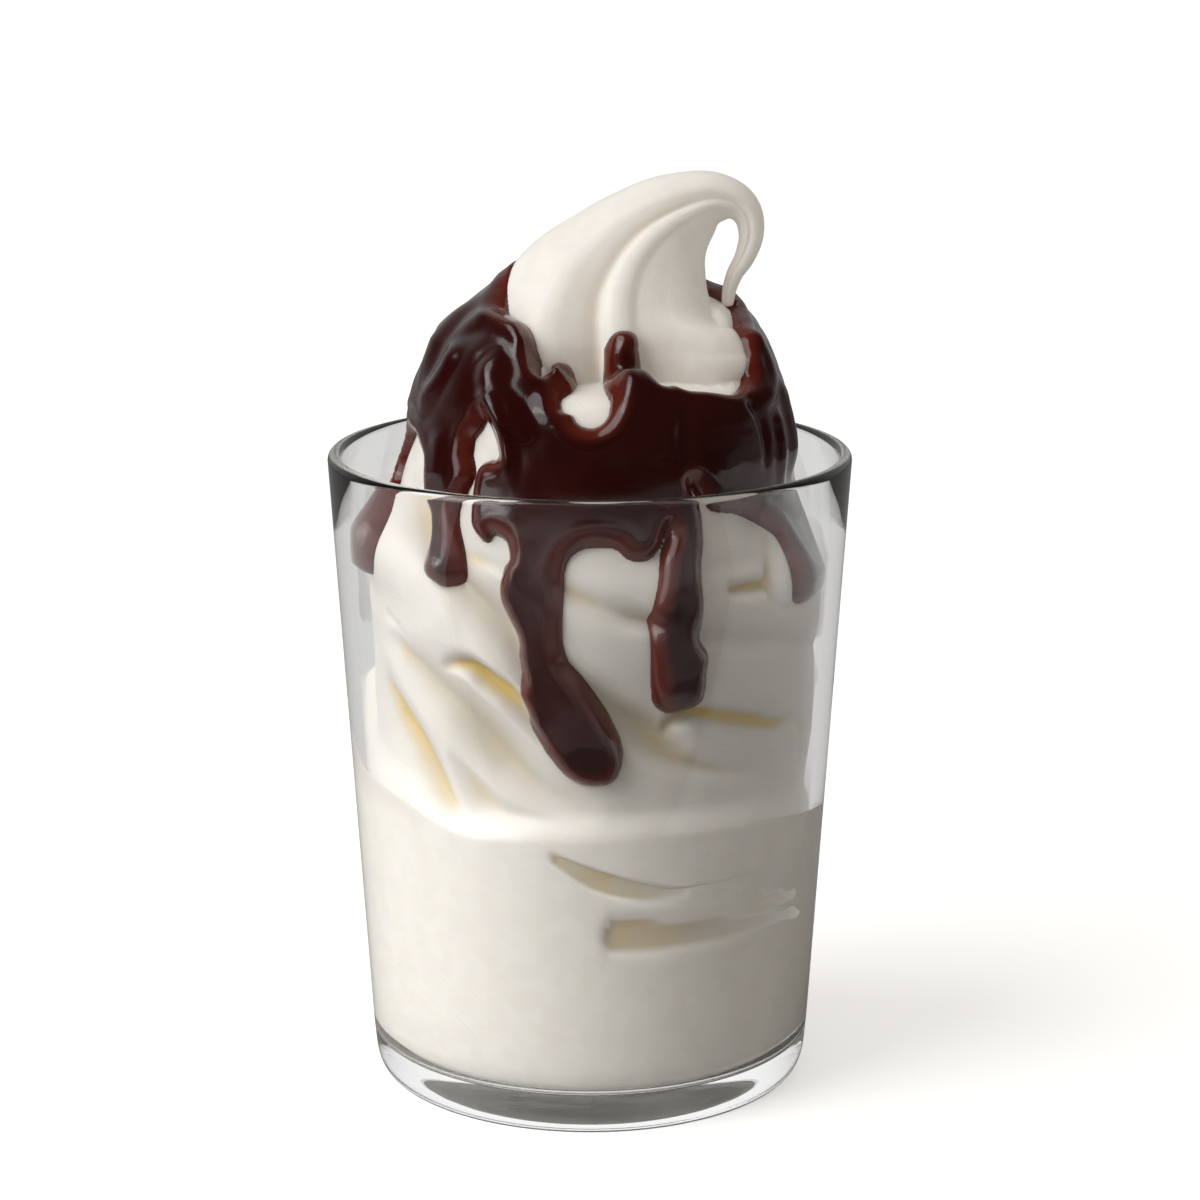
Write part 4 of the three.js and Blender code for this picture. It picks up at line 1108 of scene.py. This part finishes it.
class SUNDAE_OT_fudge(bpy.types.Operator):
    """Pour the fudge: a coat with folds, strands and drips, closed up inside the ice cream"""

    bl_idname = "sundae.fudge"
    bl_label = "Fudge"

    def execute(self, context):
        shape = bmesh.new()
        columns, rows = COAT_GRID
        bmesh.ops.create_grid(shape, x_segments=columns, y_segments=rows, size=0.5)
        flat = np.array([vert.co[:2] for vert in shape.verts])
        angle = 360.0 * flat[:, 0]
        level = COAT_LEVELS[0] + (COAT_LEVELS[1] - COAT_LEVELS[0]) * (flat[:, 1] + 0.5)
        inside, height = fudge_fields(angle, level)
        cells = np.rint((flat[:, ::-1] + 0.5) * (rows, columns)).astype(int)
        height += lying_height(angle, level, inside, cells)
        places = surface_point(angle, level, height, COAT)
        flat_radius = np.hypot(places[:, 0], places[:, 1])
        places = scaled_to(places, np.minimum(flat_radius, glass_inner(places[:, 2]) - COAT_CLEARANCE))
        thin = shape.verts.layers.float.new("thin")
        for vert, place, depth in zip(shape.verts, places * MM, inside):
            vert.co = place
            vert[thin] = 1.0 - min(max(depth / THIN_DEPTH, 0.0), 1.0)
        outside = [vert for vert, depth in zip(list(shape.verts), inside) if depth < -COAT_OUTSIDE]
        bmesh.ops.delete(shape, geom=outside, context="VERTS")
        bmesh.ops.remove_doubles(shape, verts=shape.verts, dist=1e-6)
        self.drop_scraps(shape)
        self.close_inside(shape)
        close_up(shape)
        mesh = bpy.data.meshes.new("fudge")
        shape.to_mesh(mesh)
        shape.free()
        finish_piece(new_piece("fudge", mesh, fudge_material()), "hot_fudge")
        return {"FINISHED"}

    @staticmethod
    def drop_scraps(shape):
        """Keeps only the largest connected part."""
        unseen = set(shape.verts)
        islands = []
        while unseen:
            island, todo = set(), [unseen.pop()]
            while todo:
                vert = todo.pop()
                island.add(vert)
                for edge in vert.link_edges:
                    other = edge.other_vert(vert)
                    if other in unseen:
                        unseen.remove(other)
                        todo.append(other)
            islands.append(island)
        islands.sort(key=len)
        loose = [vert for island in islands[:-1] for vert in island]
        bmesh.ops.delete(shape, geom=loose, context="VERTS")

    @staticmethod
    def close_inside(shape):
        """Draws the two open edges in to rings inside the ice cream and bridges them."""
        border = [edge for edge in shape.edges if edge.is_boundary]
        made = bmesh.ops.extrude_edge_only(shape, edges=border)["geom"]
        rings = [[], []]
        for vert in (item for item in made if isinstance(item, bmesh.types.BMVert)):
            is_high = vert.co.z > COAT_SPLIT * MM
            radius, z = COAT_CORE[is_high]
            turn = math.atan2(vert.co.x, -vert.co.y)
            vert.co = (radius * MM * math.sin(turn), -radius * MM * math.cos(turn), z * MM)
        inner = [item for item in made if isinstance(item, bmesh.types.BMEdge) and item.is_boundary]
        bmesh.ops.bridge_loops(shape, edges=inner)


# ---------------------------------------------------------------- stage
def new_lamp(name, light, place, direction):
    lamp = bpy.data.objects.new(name, light)
    lamp.location = place
    lamp.rotation_euler = Vector(direction).to_track_quat("-Z", "Y").to_euler()
    bpy.context.scene.collection.objects.link(lamp)


def flat_piece(name, size, place, material):
    """A level rectangle for the stage, as (width, depth) in metres about a place."""
    shape = bmesh.new()
    bmesh.ops.create_grid(shape, x_segments=1, y_segments=1, size=0.5)
    bmesh.ops.scale(shape, vec=(*size, 1), verts=shape.verts)
    bmesh.ops.translate(shape, vec=place, verts=shape.verts)
    mesh = bpy.data.meshes.new(name)
    shape.to_mesh(mesh)
    shape.free()
    piece = new_piece(name, mesh, material)
    return piece


def studio_world(sky):
    """Soft studio: even warm light on diffuse surfaces, and brightness by direction in glass and gloss."""
    world = bpy.data.worlds.new("soft_studio")
    world.use_nodes = True
    tree = world.node_tree
    path = add_node(tree, "ShaderNodeLightPath")
    ahead = add_node(tree, "ShaderNodeTexCoord").outputs["Generated"]
    parts = add_node(tree, "ShaderNodeSeparateXYZ", {0: ahead})
    behind = mapped(tree, parts.outputs["Y"], *SEEN_BEHIND)
    above = mapped(tree, parts.outputs["Z"], *SEEN_ABOVE)
    around = math_node(tree, "MAXIMUM", behind, above)
    through = math_node(tree, "MULTIPLY", path.outputs["Is Transmission Ray"], around)
    mirrored = mapped(tree, parts.outputs["Y"], *MIRRORED_BEHIND)
    glossy = math_node(tree, "MULTIPLY", path.outputs["Is Glossy Ray"], mirrored)
    lit = math_node(tree, "MINIMUM", path.outputs["Diffuse Depth"], 1.0)
    seen = math_node(tree, "MAXIMUM", through, glossy)
    fill = mapped(tree, parts.outputs["X"], *FILL_FROM, sky, sky * FILL_SHARE)
    lights = math_node(tree, "MULTIPLY", lit, fill)
    looks = math_node(tree, "MULTIPLY", math_node(tree, "SUBTRACT", 1.0, lit), seen)
    background = tree.nodes["Background"]
    tree.links.new(math_node(tree, "ADD", lights, looks), background.inputs["Strength"])
    tree.links.new(mixed(tree, lit, grey(1), SKY_TINT), background.inputs["Color"])
    world.cycles.sampling_method = "NONE"
    return world


class SUNDAE_OT_stage(bpy.types.Operator):
    """Set the white floor, the soft light and the camera"""

    bl_idname = "sundae.stage"
    bl_label = "Stage"

    def execute(self, context):
        scene = context.scene
        flat_piece("floor", FLOOR_SIZE, FLOOR_PLACE, floor_material())
        scene.world = studio_world(scene.stage.sky)

        sun = bpy.data.lights.new("window", "SUN")
        sun.energy = SUN_STRENGTH
        sun.angle = SUN_ANGLE
        new_lamp("window", sun, (0, 0, 0), SUN_DIRECTION)
        key = bpy.data.lights.new("key", "AREA")
        key.shape = "RECTANGLE"
        key.size, key.size_y = KEY_SIZE
        key.energy = scene.stage.key_power
        new_lamp("key", key, KEY_PLACE, Vector(KEY_TARGET) - Vector(KEY_PLACE))

        card = flat_piece("grey_card", CARD_SIZE, CARD_PLACE, card_material())
        card.visible_camera = False
        card.visible_diffuse = False
        card.visible_shadow = False
        for name, count in BOUNCES.items():
            setattr(scene.cycles, name, count)

        camera = bpy.data.cameras.new("camera")
        camera.lens = CAMERA_LENS
        camera.sensor_width = 36.0
        camera.clip_start = 0.01
        eye = bpy.data.objects.new("camera", camera)
        eye.location = CAMERA_PLACE
        eye.rotation_euler = (math.pi / 2 - CAMERA_PITCH, 0, 0)
        scene.collection.objects.link(eye)
        scene.camera = eye
        scene.view_settings.view_transform = "Standard"
        return {"FINISHED"}


# ---------------------------------------------------------------- panel and registration
OPERATORS = (SUNDAE_OT_tumbler, SUNDAE_OT_ice_cream, SUNDAE_OT_fudge, SUNDAE_OT_stage)
SETTINGS = {
    "tumbler": TumblerSettings,
    "ice_cream": IceCreamSettings,
    "fudge": FudgeSettings,
    "stage": StageSettings,
}


class SUNDAE_PT_panel(bpy.types.Panel):
    """The sundae's settings and its steps, in order"""

    bl_idname = "SUNDAE_PT_panel"
    bl_label = "Hot Fudge Sundae"
    bl_space_type = "VIEW_3D"
    bl_region_type = "UI"
    bl_category = "Sundae"

    def draw(self, context):
        for (name, group), operator in zip(SETTINGS.items(), OPERATORS):
            box = self.layout.box()
            for field in group.__annotations__:
                box.prop(getattr(context.scene, name), field)
            box.operator(operator.bl_idname)


def register():
    for group in SETTINGS.values():
        bpy.utils.register_class(group)
    for name, group in SETTINGS.items():
        setattr(bpy.types.Scene, name, bpy.props.PointerProperty(type=group))
    for item in (*OPERATORS, SUNDAE_PT_panel):
        bpy.utils.register_class(item)


def unregister():
    for item in reversed((*OPERATORS, SUNDAE_PT_panel)):
        bpy.utils.unregister_class(item)
    for name in SETTINGS:
        delattr(bpy.types.Scene, name)
    for group in reversed(SETTINGS.values()):
        bpy.utils.unregister_class(group)


def main():
    register()
    bpy.ops.sundae.tumbler()
    bpy.ops.sundae.ice_cream()
    bpy.ops.sundae.fudge()
    bpy.ops.sundae.stage()


if __name__ == "__main__":
    main()
